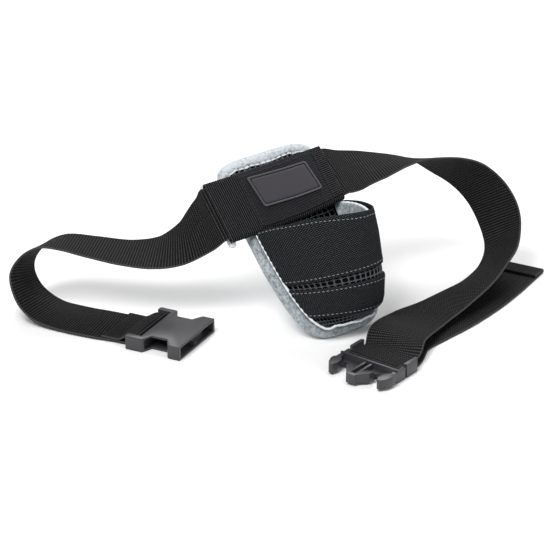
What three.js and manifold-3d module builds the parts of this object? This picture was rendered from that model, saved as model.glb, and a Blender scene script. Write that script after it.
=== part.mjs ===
// Fishing fighting belt, unfastened and laid out on a flat surface.
// Millimetres, +Z up, +X to the wearer's strap end on the right, +Y away from the viewer.
// A webbing strap runs through a wide sleeve on a padded back plate. The plate leans back on
// its lower end and carries a bulging pocket for the butt of a rod. The strap comes down on
// both sides, into the two halves of a side-release buckle that lie flat.
import * as THREE from 'three';
import { mergeVertices } from 'three/addons/utils/BufferGeometryUtils.js';
import Module from 'manifold-3d';

const wasm = await Module();
wasm.setup();

// Clearance between pieces that touch
const GAP = 0.3;

// Strap
const STRAP_WIDTH = 50;
const STRAP_THICKNESS = 2;
const STRAP_STEP = 11;
const STRAP_COLUMNS = 3;
const FLAP_LENGTH = 24;
const HEM_LENGTH = 17;

// Sleeve and the pieces on it
const SLEEVE_LENGTH = 117;
const SLEEVE_WALL = 1.6;
const SLEEVE_ROOM = 0.6;
const SLEEVE_SIDE_ROOM = 1.8;
const SLEEVE_FACE_STEPS = 4;
const SLEEVE_STEPS = 8;
const SLEEVE_LEAD = 4;
const LABEL_LENGTH = 57;
const LABEL_HEIGHT = 30;
const LABEL_THICKNESS = 1.8;
const LABEL_RIM = 1.2;
const LABEL_RECESS = 0.5;
const LABEL_STEPS = 6;
const LABEL_STAND_OFF = 0.5;
const LABEL_ALONG = 12;
const LABEL_UP = 5.5;
const TAB_DIAMETER = 7;
const TAB_OVERHANG = 4.5;

// Back pad: half width, reach above and below the sleeve's middle, thickness
const PAD_HALF_WIDTH = 49.5;
const PAD_ABOVE = 44;
const PAD_BELOW = 132;
const PAD_MIDDLE_SHIFT = 11;
const PAD_THICKNESS = 10;
const PAD_EDGE_ROUND = 9;
const PAD_TOP_POWER = 4.2;
const PAD_BOTTOM_POWER = 4;
const PAD_WIDEST_AT = 18;
const PAD_OUTLINE_POINTS = 44;

// How the pad stands: where the middle of the sleeve is, the turn about +Z, the lean back and
// the roll in its own plane
const PAD_PLACE = { x: -2, y: -52.5 };
const PAD_YAW = THREE.MathUtils.degToRad(32);
const PAD_LEAN = THREE.MathUtils.degToRad(46);
const PAD_ROLL = THREE.MathUtils.degToRad(4);

// Net on the pad's face and in the pocket
const NET_THICKNESS = 1;
const NET_STAND_OFF = 0.9;
const NET_CORD = 1.5;
const NET_COLUMNS = 14;
const NET_ROWS = 4;
const NET_BORDER = 12;
const NET_BOTTOM_BORDER = 20;
const NET_WINDOW_HEIGHT = 24;
const POCKET_NET_COLUMNS = 15;
const POCKET_NET_ROWS = 2;

// Pocket: how far it stands out at the mouth, its lift off the pad's lower end, and its layers
const POCKET_BULGE = 56;
const POCKET_HALF_WIDTH = 42;
const POCKET_MIDDLE_SHIFT = 10;
const POCKET_SEAM_LIFT = 0.5;
const POCKET_MOUTH = -29;
const POCKET_FOOT_LIFT = 35;
const POCKET_DEPTH = PAD_BELOW - POCKET_FOOT_LIFT;
const POCKET_TILT = 0.5;
const POCKET_MOUTH_RISE = 4;
const BAND_THICKNESS = 1.6;
const LINING_THICKNESS = 2.2;
const BAND_OVERLAP = 0.03;
const LINING_DROP = 0.05;
const POCKET_SIDES = 18;

// Side-release buckle
const BUCKLE_THICKNESS = 12.5;
const BUCKLE_SIDE_WALL = 5.5;
const BUCKLE_BAR = 6;
const SOCKET_LENGTH = 52;
const SOCKET_BAR_INSET = 5.6;
const SOCKET_SLOT = 13;
const SOCKET_STRAP_RUN = 8;
const SOCKET_WALL = 1.9;
const SOCKET_CAVITY_DEPTH = 36;
const SOCKET_NOTCH_DEPTH = 9.5;
const SOCKET_RIB_WIDTH = 5;
const SOCKET_RIB_HEIGHT = 2;
const PLUG_WALL = 3;
const PLUG_WALL_LENGTH = 16;
const PLUG_GROOVE = 2;
const PLUG_GROOVE_DEPTH = 2;
const PLUG_LEAD = 3;
const PLUG_RAIL = 2;
const PLUG_BAR_SET_BACK = 6;
const PLUG_REACH = 22.5;
const PLUG_WEB = 4;
const PRONG_WIDTH = 3.6;
const PRONG_HEIGHT = 8.5;
const GUIDE_REACH = 28;
const GUIDE_WIDTH = 8;
const GUIDE_GROOVE = 4;
const GUIDE_BARB = 9;

// Where the buckle halves lie
const SOCKET_PLACE = new THREE.Vector3(-88, -132, 0);
const SOCKET_YAW = THREE.MathUtils.degToRad(-26.5);
const PLUG_PLACE = new THREE.Vector3(77.5, -193, 0);
const PLUG_YAW = THREE.MathUtils.degToRad(-128);

// How far the strap's loops reach to each side, and how high they rise
const LEFT_REACH = 218;
const LEFT_RISE = 60;
const RIGHT_REACH = 200;
const RIGHT_RISE = 100;

// Strap left of the sleeve, from the socket to the sleeve. x and y are shares of LEFT_REACH,
// z of LEFT_RISE. across is the way from the near edge to the far edge.
const LEFT_ROUTE = [
  { x: -0.68, y: -0.485, z: 0.04, across: [0.43, 0.90, 0.02] },
  { x: -0.80, y: -0.43, z: 0.04, across: [0.42, 0.91, 0.00] },
  { x: -0.90, y: -0.38, z: 0.09, across: [0.43, 0.90, -0.06] },
  { x: -0.965, y: -0.345, z: 0.27, across: [0.38, 0.91, -0.15] },
  { x: -0.995, y: -0.315, z: 0.54, across: [0.33, 0.89, -0.31] },
  { x: -0.975, y: -0.295, z: 0.76, across: [0.17, 0.91, -0.38] },
  { x: -0.92, y: -0.285, z: 0.93, across: [0.09, 0.94, -0.31] },
  { x: -0.84, y: -0.285, z: 0.99, across: [0.13, 0.98, -0.15] },
  { x: -0.72, y: -0.30, z: 0.94, across: [0.16, 0.98, -0.06] },
  { x: -0.58, y: -0.32, z: 0.88, across: [0.12, 0.99, 0.03] },
  { x: -0.46, y: -0.335, z: 0.91, across: [0.05, 0.98, 0.17] },
  { x: -0.36, y: -0.35, z: 1.08, across: [-0.06, 0.90, 0.43] },
  { x: -0.275, y: -0.375, z: 1.39, across: [-0.30, 0.68, 0.67] },
];

// Strap right of the sleeve, from the sleeve to the plug. x and y are shares of RIGHT_REACH,
// z of RIGHT_RISE.
const RIGHT_ROUTE = [
  { x: 0.33, y: -0.035, z: 1.03, across: [-0.40, 0.80, 0.45] },
  { x: 0.43, y: 0.01, z: 1.05, across: [-0.29, 0.94, 0.14] },
  { x: 0.55, y: 0.055, z: 1.06, across: [-0.13, 0.97, -0.18] },
  { x: 0.655, y: 0.085, z: 1.04, across: [-0.08, 0.90, -0.42] },
  { x: 0.755, y: 0.115, z: 0.965, across: [-0.30, 0.74, -0.60] },
  { x: 0.855, y: 0.14, z: 0.855, across: [-0.50, 0.59, -0.63] },
  { x: 0.94, y: 0.145, z: 0.685, across: [-0.60, 0.53, -0.60] },
  { x: 0.995, y: 0.12, z: 0.495, across: [-0.62, 0.50, -0.61] },
  { x: 1.015, y: 0.06, z: 0.32, across: [-0.57, 0.52, -0.64] },
  { x: 0.99, y: -0.03, z: 0.21, across: [-0.62, 0.50, -0.60] },
  { x: 0.935, y: -0.12, z: 0.15, across: [-0.69, 0.47, -0.54] },
  { x: 0.845, y: -0.25, z: 0.11, across: [-0.77, 0.52, -0.37] },
  { x: 0.725, y: -0.385, z: 0.07, across: [-0.79, 0.58, -0.20] },
  { x: 0.605, y: -0.54, z: 0.08, across: [-0.82, 0.57, -0.02] },
  { x: 0.51, y: -0.745, z: 0.14, across: [-0.85, 0.52, 0.05] },
];

// Free tail, from the plug to its hem. x and y are shares of RIGHT_REACH. It lies flat.
const TAIL_ROUTE = [
  { x: 0.53, y: -0.70 },
  { x: 0.63, y: -0.58 },
  { x: 0.74, y: -0.46 },
  { x: 0.87, y: -0.29 },
  { x: 0.99, y: -0.10 },
  { x: 1.09, y: 0.08 },
];

// Pocket's section across, from the left seam round to the right seam.
// across is a share of its full width, out a share of its bulge.
const POCKET_SECTION = [
  { across: 0.00, out: 0.00 },
  { across: 0.12, out: 0.33 },
  { across: 0.29, out: 0.62 },
  { across: 0.53, out: 0.89 },
  { across: 0.75, out: 1.00 },
  { across: 0.93, out: 0.93 },
  { across: 1.03, out: 0.70 },
  { across: 1.06, out: 0.42 },
  { across: 1.04, out: 0.18 },
  { across: 1.00, out: 0.00 },
];

// Pocket's levels from bottom to mouth. height is a share of POCKET_DEPTH up from the bottom,
// bulge of POCKET_BULGE, left and right of POCKET_HALF_WIDTH to each side of its middle.
const POCKET_LEVELS = [
  { height: 0.00, bulge: 0.06, left: 0.45, right: 0.40 },
  { height: 0.14, bulge: 0.38, left: 0.68, right: 0.62 },
  { height: 0.40, bulge: 0.64, left: 0.92, right: 0.78 },
  { height: 0.52, bulge: 0.70, left: 0.96, right: 0.82 },
  { height: 0.76, bulge: 0.86, left: 1.02, right: 0.92 },
  { height: 1.00, bulge: 1.00, left: 1.04, right: 0.98 },
];

// Shares of the pocket's height at which each band and net strip starts and ends
const LOWER_BAND = { from: 0.14, to: 0.40 };
const UPPER_BAND = { from: 0.52, to: 1.00 };

// Pad's edge from face to back: inset as a share of PAD_EDGE_ROUND, depth of PAD_THICKNESS
const PAD_EDGE = [
  { inset: 1.00, depth: 0.04 },
  { inset: 0.72, depth: -0.02 },
  { inset: 0.35, depth: 0.02 },
  { inset: 0.08, depth: 0.22 },
  { inset: 0.00, depth: 0.50 },
  { inset: 0.12, depth: 0.80 },
  { inset: 0.55, depth: 1.00 },
];

// The sleeve, its label and the strap in it turn about the sleeve's length towards its right
// end, and rise off the pad. along is a share of half the sleeve's length, turn is in degrees,
// up and out are in millimetres, and slant is the shift along for each millimetre up.
const SLEEVE_TURN = [
  { along: -1.25, turn: 0, up: 0, out: 0, slant: 0 },
  { along: -0.25, turn: 0, up: 0, out: 0, slant: 0 },
  { along: 0.25, turn: 2, up: 0.5, out: 0.8, slant: 0.02 },
  { along: 0.50, turn: 4.5, up: 1.2, out: 1.9, slant: 0.05 },
  { along: 1.00, turn: 10, up: 2.6, out: 4.5, slant: 0.12 },
  { along: 1.25, turn: 13, up: 3.4, out: 5.8, slant: 0.14 },
];

const webbingBlack = { color: 0x1c1c20, roughness: 0.85, metalness: 0 };
const rubberGrey = { color: 0x46444a, roughness: 0.6, metalness: 0 };
const fleeceGrey = { color: 0xb4bcc2, roughness: 1, metalness: 0 };
const netGrey = { color: 0x2c2c31, roughness: 0.8, metalness: 0 };
const plasticGrey = { color: 0x3c3b40, roughness: 0.5, metalness: 0 };

const belt = new THREE.Group();

const padFrame = new THREE.Group();
padFrame.rotation.set(-PAD_LEAN, -PAD_ROLL, PAD_YAW, 'ZXY');

function addMesh(name, geometry, look, parent) {
  const mesh = new THREE.Mesh(geometry, new THREE.MeshStandardMaterial(look));
  mesh.name = name;
  parent.add(mesh);
  return mesh;
}

function smooth(rows, key, share) {
  const curve = new THREE.CatmullRomCurve3(
    rows.map((row, index) => new THREE.Vector3(index, row[key], 0)),
    false,
    'centripetal',
  );
  return curve.getPoint(share).y;
}

function signedVolume(positions, indices) {
  const a = new THREE.Vector3();
  const b = new THREE.Vector3();
  const c = new THREE.Vector3();
  let sum = 0;
  for (let i = 0; i < indices.length; i += 3) {
    a.fromArray(positions, indices[i] * 3);
    b.fromArray(positions, indices[i + 1] * 3);
    c.fromArray(positions, indices[i + 2] * 3);
    sum += a.dot(b.cross(c));
  }
  return sum;
}

// Turns every face outward and makes the geometry
function closedGeometry(positions, indices) {
  const inward = signedVolume(positions, indices) < 0;
  const order = inward ? indices.toReversed() : indices;
  const geometry = new THREE.BufferGeometry();
  geometry.setAttribute('position', new THREE.Float32BufferAttribute(positions, 3));
  geometry.setIndex(order);
  geometry.computeVertexNormals();
  return geometry;
}

// A closed sheet over a grid. place(i, j, side) gives the point at grid line i, j on the
// sheet's under side (0) or upper side (1). isOpen(i, j) leaves a hole at a grid cell.
// wrap joins the last column to the first.
function sheetGeometry(columns, rows, place, { isOpen = () => false, wrap = false } = {}) {
  const cells = wrap ? columns : columns - 1;
  const ids = new Map();
  const positions = [];
  const indices = [];
  const id = (i, j, side) => {
    const column = i % columns;
    const key = `${column},${j},${side}`;
    if (!ids.has(key)) {
      ids.set(key, positions.length / 3);
      positions.push(...place(column, j, side).toArray());
    }
    return ids.get(key);
  };
  const quad = (a, b, c, d) => indices.push(a, b, c, a, c, d);
  const filled = (i, j) => {
    if (j < 0 || j >= rows - 1) return false;
    if (!wrap && (i < 0 || i >= cells)) return false;
    return !isOpen((i + cells) % cells, j);
  };
  for (let i = 0; i < cells; i += 1) {
    for (let j = 0; j < rows - 1; j += 1) {
      if (!filled(i, j)) continue;
      quad(id(i, j, 1), id(i + 1, j, 1), id(i + 1, j + 1, 1), id(i, j + 1, 1));
      quad(id(i, j, 0), id(i, j + 1, 0), id(i + 1, j + 1, 0), id(i + 1, j, 0));
      if (!filled(i, j - 1)) quad(id(i, j, 0), id(i + 1, j, 0), id(i + 1, j, 1), id(i, j, 1));
      if (!filled(i, j + 1)) {
        quad(id(i + 1, j + 1, 0), id(i, j + 1, 0), id(i, j + 1, 1), id(i + 1, j + 1, 1));
      }
      if (!filled(i - 1, j)) quad(id(i, j + 1, 0), id(i, j, 0), id(i, j, 1), id(i, j + 1, 1));
      if (!filled(i + 1, j)) {
        quad(id(i + 1, j, 0), id(i + 1, j + 1, 0), id(i + 1, j + 1, 1), id(i + 1, j, 1));
      }
    }
  }
  return closedGeometry(positions, indices);
}

// Grid lines for a net: a cord, a gap, a cord and so on from start to end
function netLines(start, end, count, cord) {
  const pitch = (end - start - cord) / count;
  const lines = [];
  for (let k = 0; k <= count; k += 1) {
    lines.push(start + k * pitch, start + k * pitch + cord);
  }
  return lines;
}

// Booleans
function toSolid(geometry) {
  const bare = geometry.clone();
  bare.deleteAttribute('normal');
  bare.deleteAttribute('uv');
  const merged = mergeVertices(bare, 1e-4);
  const mesh = new wasm.Mesh({
    numProp: 3,
    vertProperties: new Float32Array(merged.attributes.position.array),
    triVerts: new Uint32Array(merged.index.array),
  });
  return new wasm.Manifold(mesh);
}

function fromSolid(solid) {
  const mesh = solid.getMesh();
  const geometry = new THREE.BufferGeometry();
  geometry.setAttribute('position', new THREE.Float32BufferAttribute(mesh.vertProperties, 3));
  geometry.setIndex(Array.from(mesh.triVerts));
  geometry.computeVertexNormals();
  return geometry;
}

function boxSolid(x0, x1, y0, y1, z0, z1) {
  const box = new THREE.BoxGeometry(x1 - x0, y1 - y0, z1 - z0);
  box.translate((x0 + x1) / 2, (y0 + y1) / 2, (z0 + z1) / 2);
  return toSolid(box);
}

function plateSolid(points, z0, z1) {
  const shape = new THREE.Shape(points.map(([x, y]) => new THREE.Vector2(x, y)));
  const plate = new THREE.ExtrudeGeometry(shape, { depth: z1 - z0, bevelEnabled: false });
  plate.translate(0, 0, z0);
  return toSolid(plate);
}

// A bar across the buckle, along Y, with its axis at x and z
function barSolid(x, z, diameter, length) {
  const bar = new THREE.CylinderGeometry(diameter / 2, diameter / 2, length, 12);
  bar.translate(x, 0, z);
  return toSolid(bar);
}

function mirrored(points) {
  return points.map(([x, y]) => [x, -y]).reverse();
}

// Pad, sleeve and what they carry. In the pad's frame X runs along the sleeve, Z up the pad
// and -Y straight out from its face, with the origin at the sleeve's middle.

function padHalf(height) {
  const above = height > PAD_WIDEST_AT;
  const reach = above ? PAD_ABOVE - PAD_WIDEST_AT : PAD_BELOW + PAD_WIDEST_AT;
  const power = above ? PAD_TOP_POWER : PAD_BOTTOM_POWER;
  const share = Math.min(Math.abs(height - PAD_WIDEST_AT) / reach, 1);
  return PAD_HALF_WIDTH * (1 - share ** power) ** (1 / power);
}

function padOutline(angle, inset) {
  const above = Math.sin(angle) >= 0;
  const reach = (above ? PAD_ABOVE - PAD_WIDEST_AT : PAD_BELOW + PAD_WIDEST_AT) - inset;
  const power = above ? PAD_TOP_POWER : PAD_BOTTOM_POWER;
  const bent = (value) => Math.sign(value) * Math.abs(value) ** (2 / power);
  const x = PAD_MIDDLE_SHIFT + (PAD_HALF_WIDTH - inset) * bent(Math.cos(angle));
  const z = PAD_WIDEST_AT + reach * bent(Math.sin(angle));
  return [x, z];
}

function padGeometry() {
  const positions = [];
  const indices = [];
  const count = PAD_OUTLINE_POINTS;
  for (const row of PAD_EDGE) {
    for (let k = 0; k < count; k += 1) {
      const [x, z] = padOutline((k / count) * 2 * Math.PI, row.inset * PAD_EDGE_ROUND);
      positions.push(x, row.depth * PAD_THICKNESS, z);
    }
  }
  const face = positions.length / 3;
  positions.push(PAD_MIDDLE_SHIFT, PAD_EDGE[0].depth * PAD_THICKNESS, PAD_WIDEST_AT);
  positions.push(PAD_MIDDLE_SHIFT, PAD_THICKNESS, PAD_WIDEST_AT);
  const last = (PAD_EDGE.length - 1) * count;
  for (let k = 0; k < count; k += 1) {
    const next = (k + 1) % count;
    indices.push(face, k, next, face + 1, last + next, last + k);
    for (let ring = 0; ring < last; ring += count) {
      indices.push(ring + k, ring + count + k, ring + count + next);
      indices.push(ring + k, ring + count + next, ring + next);
    }
  }
  return closedGeometry(positions, indices);
}

// Face-out distances of the layers that lie on the pad
const netFace = GAP + NET_THICKNESS;
const sleeveBack = netFace + GAP;
const strapBack = sleeveBack + SLEEVE_WALL + SLEEVE_ROOM;
const strapMiddle = strapBack + STRAP_THICKNESS / 2;
const sleeveFace = strapBack + STRAP_THICKNESS + SLEEVE_ROOM + SLEEVE_WALL;

function padNetGeometry() {
  const half = PAD_HALF_WIDTH - NET_BORDER;
  const windowTop = -STRAP_WIDTH / 2 + NET_CORD;
  const columns = netLines(-half, half, NET_COLUMNS, NET_CORD);
  const window = netLines(windowTop - NET_WINDOW_HEIGHT, windowTop, NET_ROWS, NET_CORD);
  const low = NET_BOTTOM_BORDER - PAD_BELOW;
  const high = PAD_ABOVE - NET_BORDER;
  const belowRows = [low, low / 2 + window[0] / 2];
  const aboveRows = [windowTop + high / 2, high];
  const rows = [...belowRows, ...window, ...aboveRows];
  const first = belowRows.length;
  const isOpen = (i, j) => {
    const inWindow = j >= first && j < first + window.length - 1;
    return inWindow && i % 2 === 1 && (j - first) % 2 === 1;
  };
  const place = (i, j, side) => {
    const fit = (padHalf(rows[j]) - NET_BORDER) / half;
    const x = PAD_MIDDLE_SHIFT + columns[i] * fit;
    return new THREE.Vector3(x, -GAP - side * NET_THICKNESS, rows[j]);
  };
  return sheetGeometry(columns.length, rows.length, place, { isOpen });
}

// Height and way out of a point of the sleeve, its label or its strap, from the turn at x
function turned(x, y, z) {
  const share = x / (SLEEVE_LENGTH / 2);
  const after = Math.max(SLEEVE_TURN.findIndex((row) => row.along > share), 1);
  const low = SLEEVE_TURN[after - 1];
  const high = SLEEVE_TURN[after];
  const part = (share - low.along) / (high.along - low.along);
  const value = (key) => low[key] + (high[key] - low[key]) * part;
  const angle = THREE.MathUtils.degToRad(value('turn'));
  const fromStrap = y + strapMiddle;
  return new THREE.Vector3(
    x + z * value('slant'),
    fromStrap * Math.cos(angle) + z * Math.sin(angle) - strapMiddle - value('out'),
    z * Math.cos(angle) - fromStrap * Math.sin(angle) + value('up'),
  );
}

// A flat tube round the strap, open at both ends, with rounded upper and lower folds
function sleeveGeometry() {
  const room = STRAP_THICKNESS / 2 + SLEEVE_ROOM;
  const half = STRAP_WIDTH / 2 + SLEEVE_SIDE_ROOM - room;
  const foldSteps = 4;
  const section = (radius) => {
    const points = [];
    for (const end of [1, -1]) {
      for (let k = 0; k <= foldSteps; k += 1) {
        const angle = (k / foldSteps) * Math.PI - (end > 0 ? 0 : Math.PI);
        points.push([radius * Math.cos(angle), end * half + radius * Math.sin(angle)]);
      }
      for (let k = 1; k < SLEEVE_FACE_STEPS; k += 1) {
        points.push([-end * radius, end * half * (1 - (2 * k) / SLEEVE_FACE_STEPS)]);
      }
    }
    return points;
  };
  const inner = section(room);
  const outer = section(room + SLEEVE_WALL);
  const place = (i, j, side) => {
    const [y, z] = (side ? outer : inner)[i];
    return turned((j / SLEEVE_STEPS - 0.5) * SLEEVE_LENGTH, y - strapMiddle, z);
  };
  return sheetGeometry(inner.length, SLEEVE_STEPS + 1, place, { wrap: true });
}

// A flat patch with a raised rim, following the sleeve's face
function labelGeometry() {
  const lines = (size, steps) => {
    const inside = size / 2 - LABEL_RIM;
    const middle = Array.from({ length: steps + 1 }, (_, k) => (2 * k * inside) / steps - inside);
    return [-size / 2, ...middle, size / 2];
  };
  const columns = lines(LABEL_LENGTH, LABEL_STEPS);
  const rows = lines(LABEL_HEIGHT, 1);
  const face = -sleeveFace - LABEL_STAND_OFF;
  const place = (i, j, side) => {
    const onRim = i === 0 || j === 0 || i === columns.length - 1 || j === rows.length - 1;
    const thickness = LABEL_THICKNESS - (onRim ? 0 : LABEL_RECESS);
    return turned(LABEL_ALONG + columns[i], face - side * thickness, LABEL_UP + rows[j]);
  };
  return sheetGeometry(columns.length, rows.length, place);
}

// A soft roll sewn across behind the sleeve's left end, its two ends showing past the edges
function tabGeometry() {
  const half = STRAP_WIDTH / 2 + TAB_OVERHANG;
  const radius = TAB_DIAMETER / 2;
  const steps = 4;
  const profile = [];
  for (let k = 0; k <= steps; k += 1) {
    const angle = ((k / steps) * Math.PI) / 2;
    const along = radius - half - radius * Math.cos(angle);
    profile.push(new THREE.Vector2(radius * Math.sin(angle), along));
  }
  const upper = profile.map((point) => new THREE.Vector2(point.x, -point.y)).reverse();
  const roll = new THREE.LatheGeometry([...profile, ...upper], 12);
  roll.rotateX(Math.PI / 2);
  return fromSolid(toSolid(roll));
}

// Pocket wall, as a net of flat facets. share runs along the section from seam to seam, height
// from bottom to mouth, and out is the distance outward from the wall's own surface.
function pocketSurface(share, level) {
  const bulge = POCKET_BULGE * level.bulge;
  const left = -POCKET_HALF_WIDTH * level.left;
  const right = POCKET_HALF_WIDTH * level.right;
  const across = smooth(POCKET_SECTION, 'across', share);
  const out = bulge * smooth(POCKET_SECTION, 'out', share);
  const x = POCKET_MIDDLE_SHIFT + left + (right - left) * across;
  const rise = POCKET_MOUTH_RISE * across * level.height;
  const seam = POCKET_MOUTH + rise - POCKET_DEPTH * (1 - level.height);
  const depth = out + netFace + LINING_THICKNESS + POCKET_SEAM_LIFT;
  return new THREE.Vector3(x, -depth, seam - POCKET_TILT * out);
}

const pocketKnots = POCKET_LEVELS.map((level, row) => {
  const below = POCKET_LEVELS[Math.max(row - 1, 0)];
  const above = POCKET_LEVELS[Math.min(row + 1, POCKET_LEVELS.length - 1)];
  return Array.from({ length: POCKET_SIDES + 1 }, (_, side) => {
    const share = side / POCKET_SIDES;
    const before = Math.max(side - 1, 0) / POCKET_SIDES;
    const after = Math.min(side + 1, POCKET_SIDES) / POCKET_SIDES;
    const along = pocketSurface(after, level).sub(pocketSurface(before, level));
    const up = pocketSurface(share, above).sub(pocketSurface(share, below));
    return { place: pocketSurface(share, level), normal: along.cross(up).normalize() };
  });
});

function pocketPoint(share, height, out) {
  const row = Math.max(POCKET_LEVELS.findIndex((level) => level.height >= height), 1);
  const low = POCKET_LEVELS[row - 1].height;
  const high = POCKET_LEVELS[row].height;
  const column = Math.min(Math.floor(share * POCKET_SIDES + 1e-6), POCKET_SIDES - 1);
  const along = share * POCKET_SIDES - column;
  const up = (height - low) / (high - low);
  const knot = (r, c) => pocketKnots[r][c].place.clone().addScaledVector(pocketKnots[r][c].normal, out);
  const start = knot(row - 1, column);
  const corner = along > up ? knot(row - 1, column + 1) : knot(row, column);
  const end = knot(row, column + 1);
  const near = Math.max(along, up);
  const far = Math.min(along, up);
  return start.lerp(corner, (near - far) / Math.max(1 - far, 1e-9)).lerp(end, far);
}

function pocketWall(heights, inner, thickness) {
  const place = (i, j, side) => {
    return pocketPoint(i / POCKET_SIDES, heights[j], inner + side * thickness);
  };
  return sheetGeometry(POCKET_SIDES + 1, heights.length, place);
}

// The level heights between two shares of the pocket's height, with the two themselves
function heightsBetween(from, to) {
  const inside = POCKET_LEVELS.map((level) => level.height).filter((h) => h > from && h < to);
  return [from, ...inside, to];
}

function pocketNet(from, to) {
  const cord = 0.25 / POCKET_NET_COLUMNS;
  const shares = netLines(0, 1, POCKET_NET_COLUMNS, cord);
  const heights = netLines(from, to, POCKET_NET_ROWS, (to - from) * 0.12);
  const place = (i, j, side) => pocketPoint(shares[i], heights[j], NET_STAND_OFF + side * NET_THICKNESS);
  const isOpen = (i, j) => i % 2 === 1 && j % 2 === 1;
  return sheetGeometry(shares.length, heights.length, place, { isOpen });
}

const bandInner = NET_STAND_OFF + NET_THICKNESS + GAP;

addMesh('back_pad', padGeometry(), fleeceGrey, padFrame);
addMesh('pad_net', padNetGeometry(), netGrey, padFrame);
addMesh('strap_sleeve', sleeveGeometry(), webbingBlack, padFrame);

addMesh('label_plate', labelGeometry(), rubberGrey, padFrame);

const tab = addMesh('sleeve_roll', tabGeometry(), fleeceGrey, padFrame);
tab.position.set(-SLEEVE_LENGTH / 2 + TAB_DIAMETER / 2, TAB_DIAMETER / 2 - sleeveBack + GAP, 0);

addMesh(
  'pocket_lining',
  pocketWall(heightsBetween(0, 1 - LINING_DROP), -LINING_THICKNESS, LINING_THICKNESS),
  fleeceGrey,
  padFrame,
);
addMesh(
  'pocket_band_upper',
  pocketWall(heightsBetween(UPPER_BAND.from, UPPER_BAND.to), bandInner, BAND_THICKNESS),
  webbingBlack,
  padFrame,
);
addMesh(
  'pocket_band_lower',
  pocketWall(heightsBetween(LOWER_BAND.from, LOWER_BAND.to), bandInner, BAND_THICKNESS),
  webbingBlack,
  padFrame,
);
addMesh(
  'pocket_net_middle',
  pocketNet(LOWER_BAND.to - BAND_OVERLAP, UPPER_BAND.from + BAND_OVERLAP),
  netGrey,
  padFrame,
);
addMesh('pocket_net_bottom', pocketNet(0, LOWER_BAND.from + BAND_OVERLAP), netGrey, padFrame);

// The pad stands on the lowest point of its lower end
padFrame.position.set(PAD_PLACE.x, PAD_PLACE.y, 0);
padFrame.updateMatrixWorld(true);
padFrame.position.z = -new THREE.Box3().setFromObject(padFrame, true).min.z;
padFrame.updateMatrixWorld(true);
belt.add(padFrame);

// Buckle

const buckleMiddle = BUCKLE_THICKNESS / 2;
const buckleHalf = STRAP_WIDTH / 2 + 2 * GAP;
const wrapRadius = BUCKLE_BAR / 2 + GAP + STRAP_THICKNESS / 2;

function socketGeometry() {
  const half = buckleHalf + BUCKLE_SIDE_WALL;
  const back = -SOCKET_LENGTH / 2;
  const front = SOCKET_LENGTH / 2;
  const waist = half - SOCKET_NOTCH_DEPTH;
  const side = [
    [back, half - 1],
    [back + 1, half],
    [back + SOCKET_LENGTH * 0.31, half],
    [back + SOCKET_LENGTH * 0.35, half - SOCKET_NOTCH_DEPTH * 0.35],
    [back + SOCKET_LENGTH * 0.4, waist],
    [back + SOCKET_LENGTH * 0.68, waist],
    [back + SOCKET_LENGTH * 0.76, half - SOCKET_NOTCH_DEPTH * 0.2],
    [back + SOCKET_LENGTH * 0.79, half],
    [front, half],
  ];
  const outline = [...mirrored(side).reverse(), ...side.toReversed()];
  const body = plateSolid(outline, 0, BUCKLE_THICKNESS);
  const cavityHalf = buckleHalf + BUCKLE_SIDE_WALL - SOCKET_WALL * 1.4;
  const cavity = boxSolid(
    front - SOCKET_CAVITY_DEPTH,
    front + 1,
    -cavityHalf,
    cavityHalf,
    SOCKET_WALL,
    BUCKLE_THICKNESS - SOCKET_WALL,
  );
  const slot = boxSolid(back - 1, back + SOCKET_SLOT, -buckleHalf, buckleHalf, -1, BUCKLE_THICKNESS + 1);
  const bar = barSolid(back + SOCKET_BAR_INSET, buckleMiddle, BUCKLE_BAR, 2 * buckleHalf + 2);
  const ribHalf = SOCKET_RIB_WIDTH / 2;
  const ribBack = front - SOCKET_CAVITY_DEPTH - 1;
  const lowRib = boxSolid(ribBack, front - 2, -ribHalf, ribHalf, 1, SOCKET_WALL + SOCKET_RIB_HEIGHT);
  const highRib = boxSolid(
    ribBack,
    front - 2,
    -ribHalf,
    ribHalf,
    BUCKLE_THICKNESS - SOCKET_WALL - SOCKET_RIB_HEIGHT,
    BUCKLE_THICKNESS - 1,
  );
  return fromSolid(body.subtract(cavity).subtract(slot).add(bar).add(lowRib).add(highRib));
}

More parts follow.
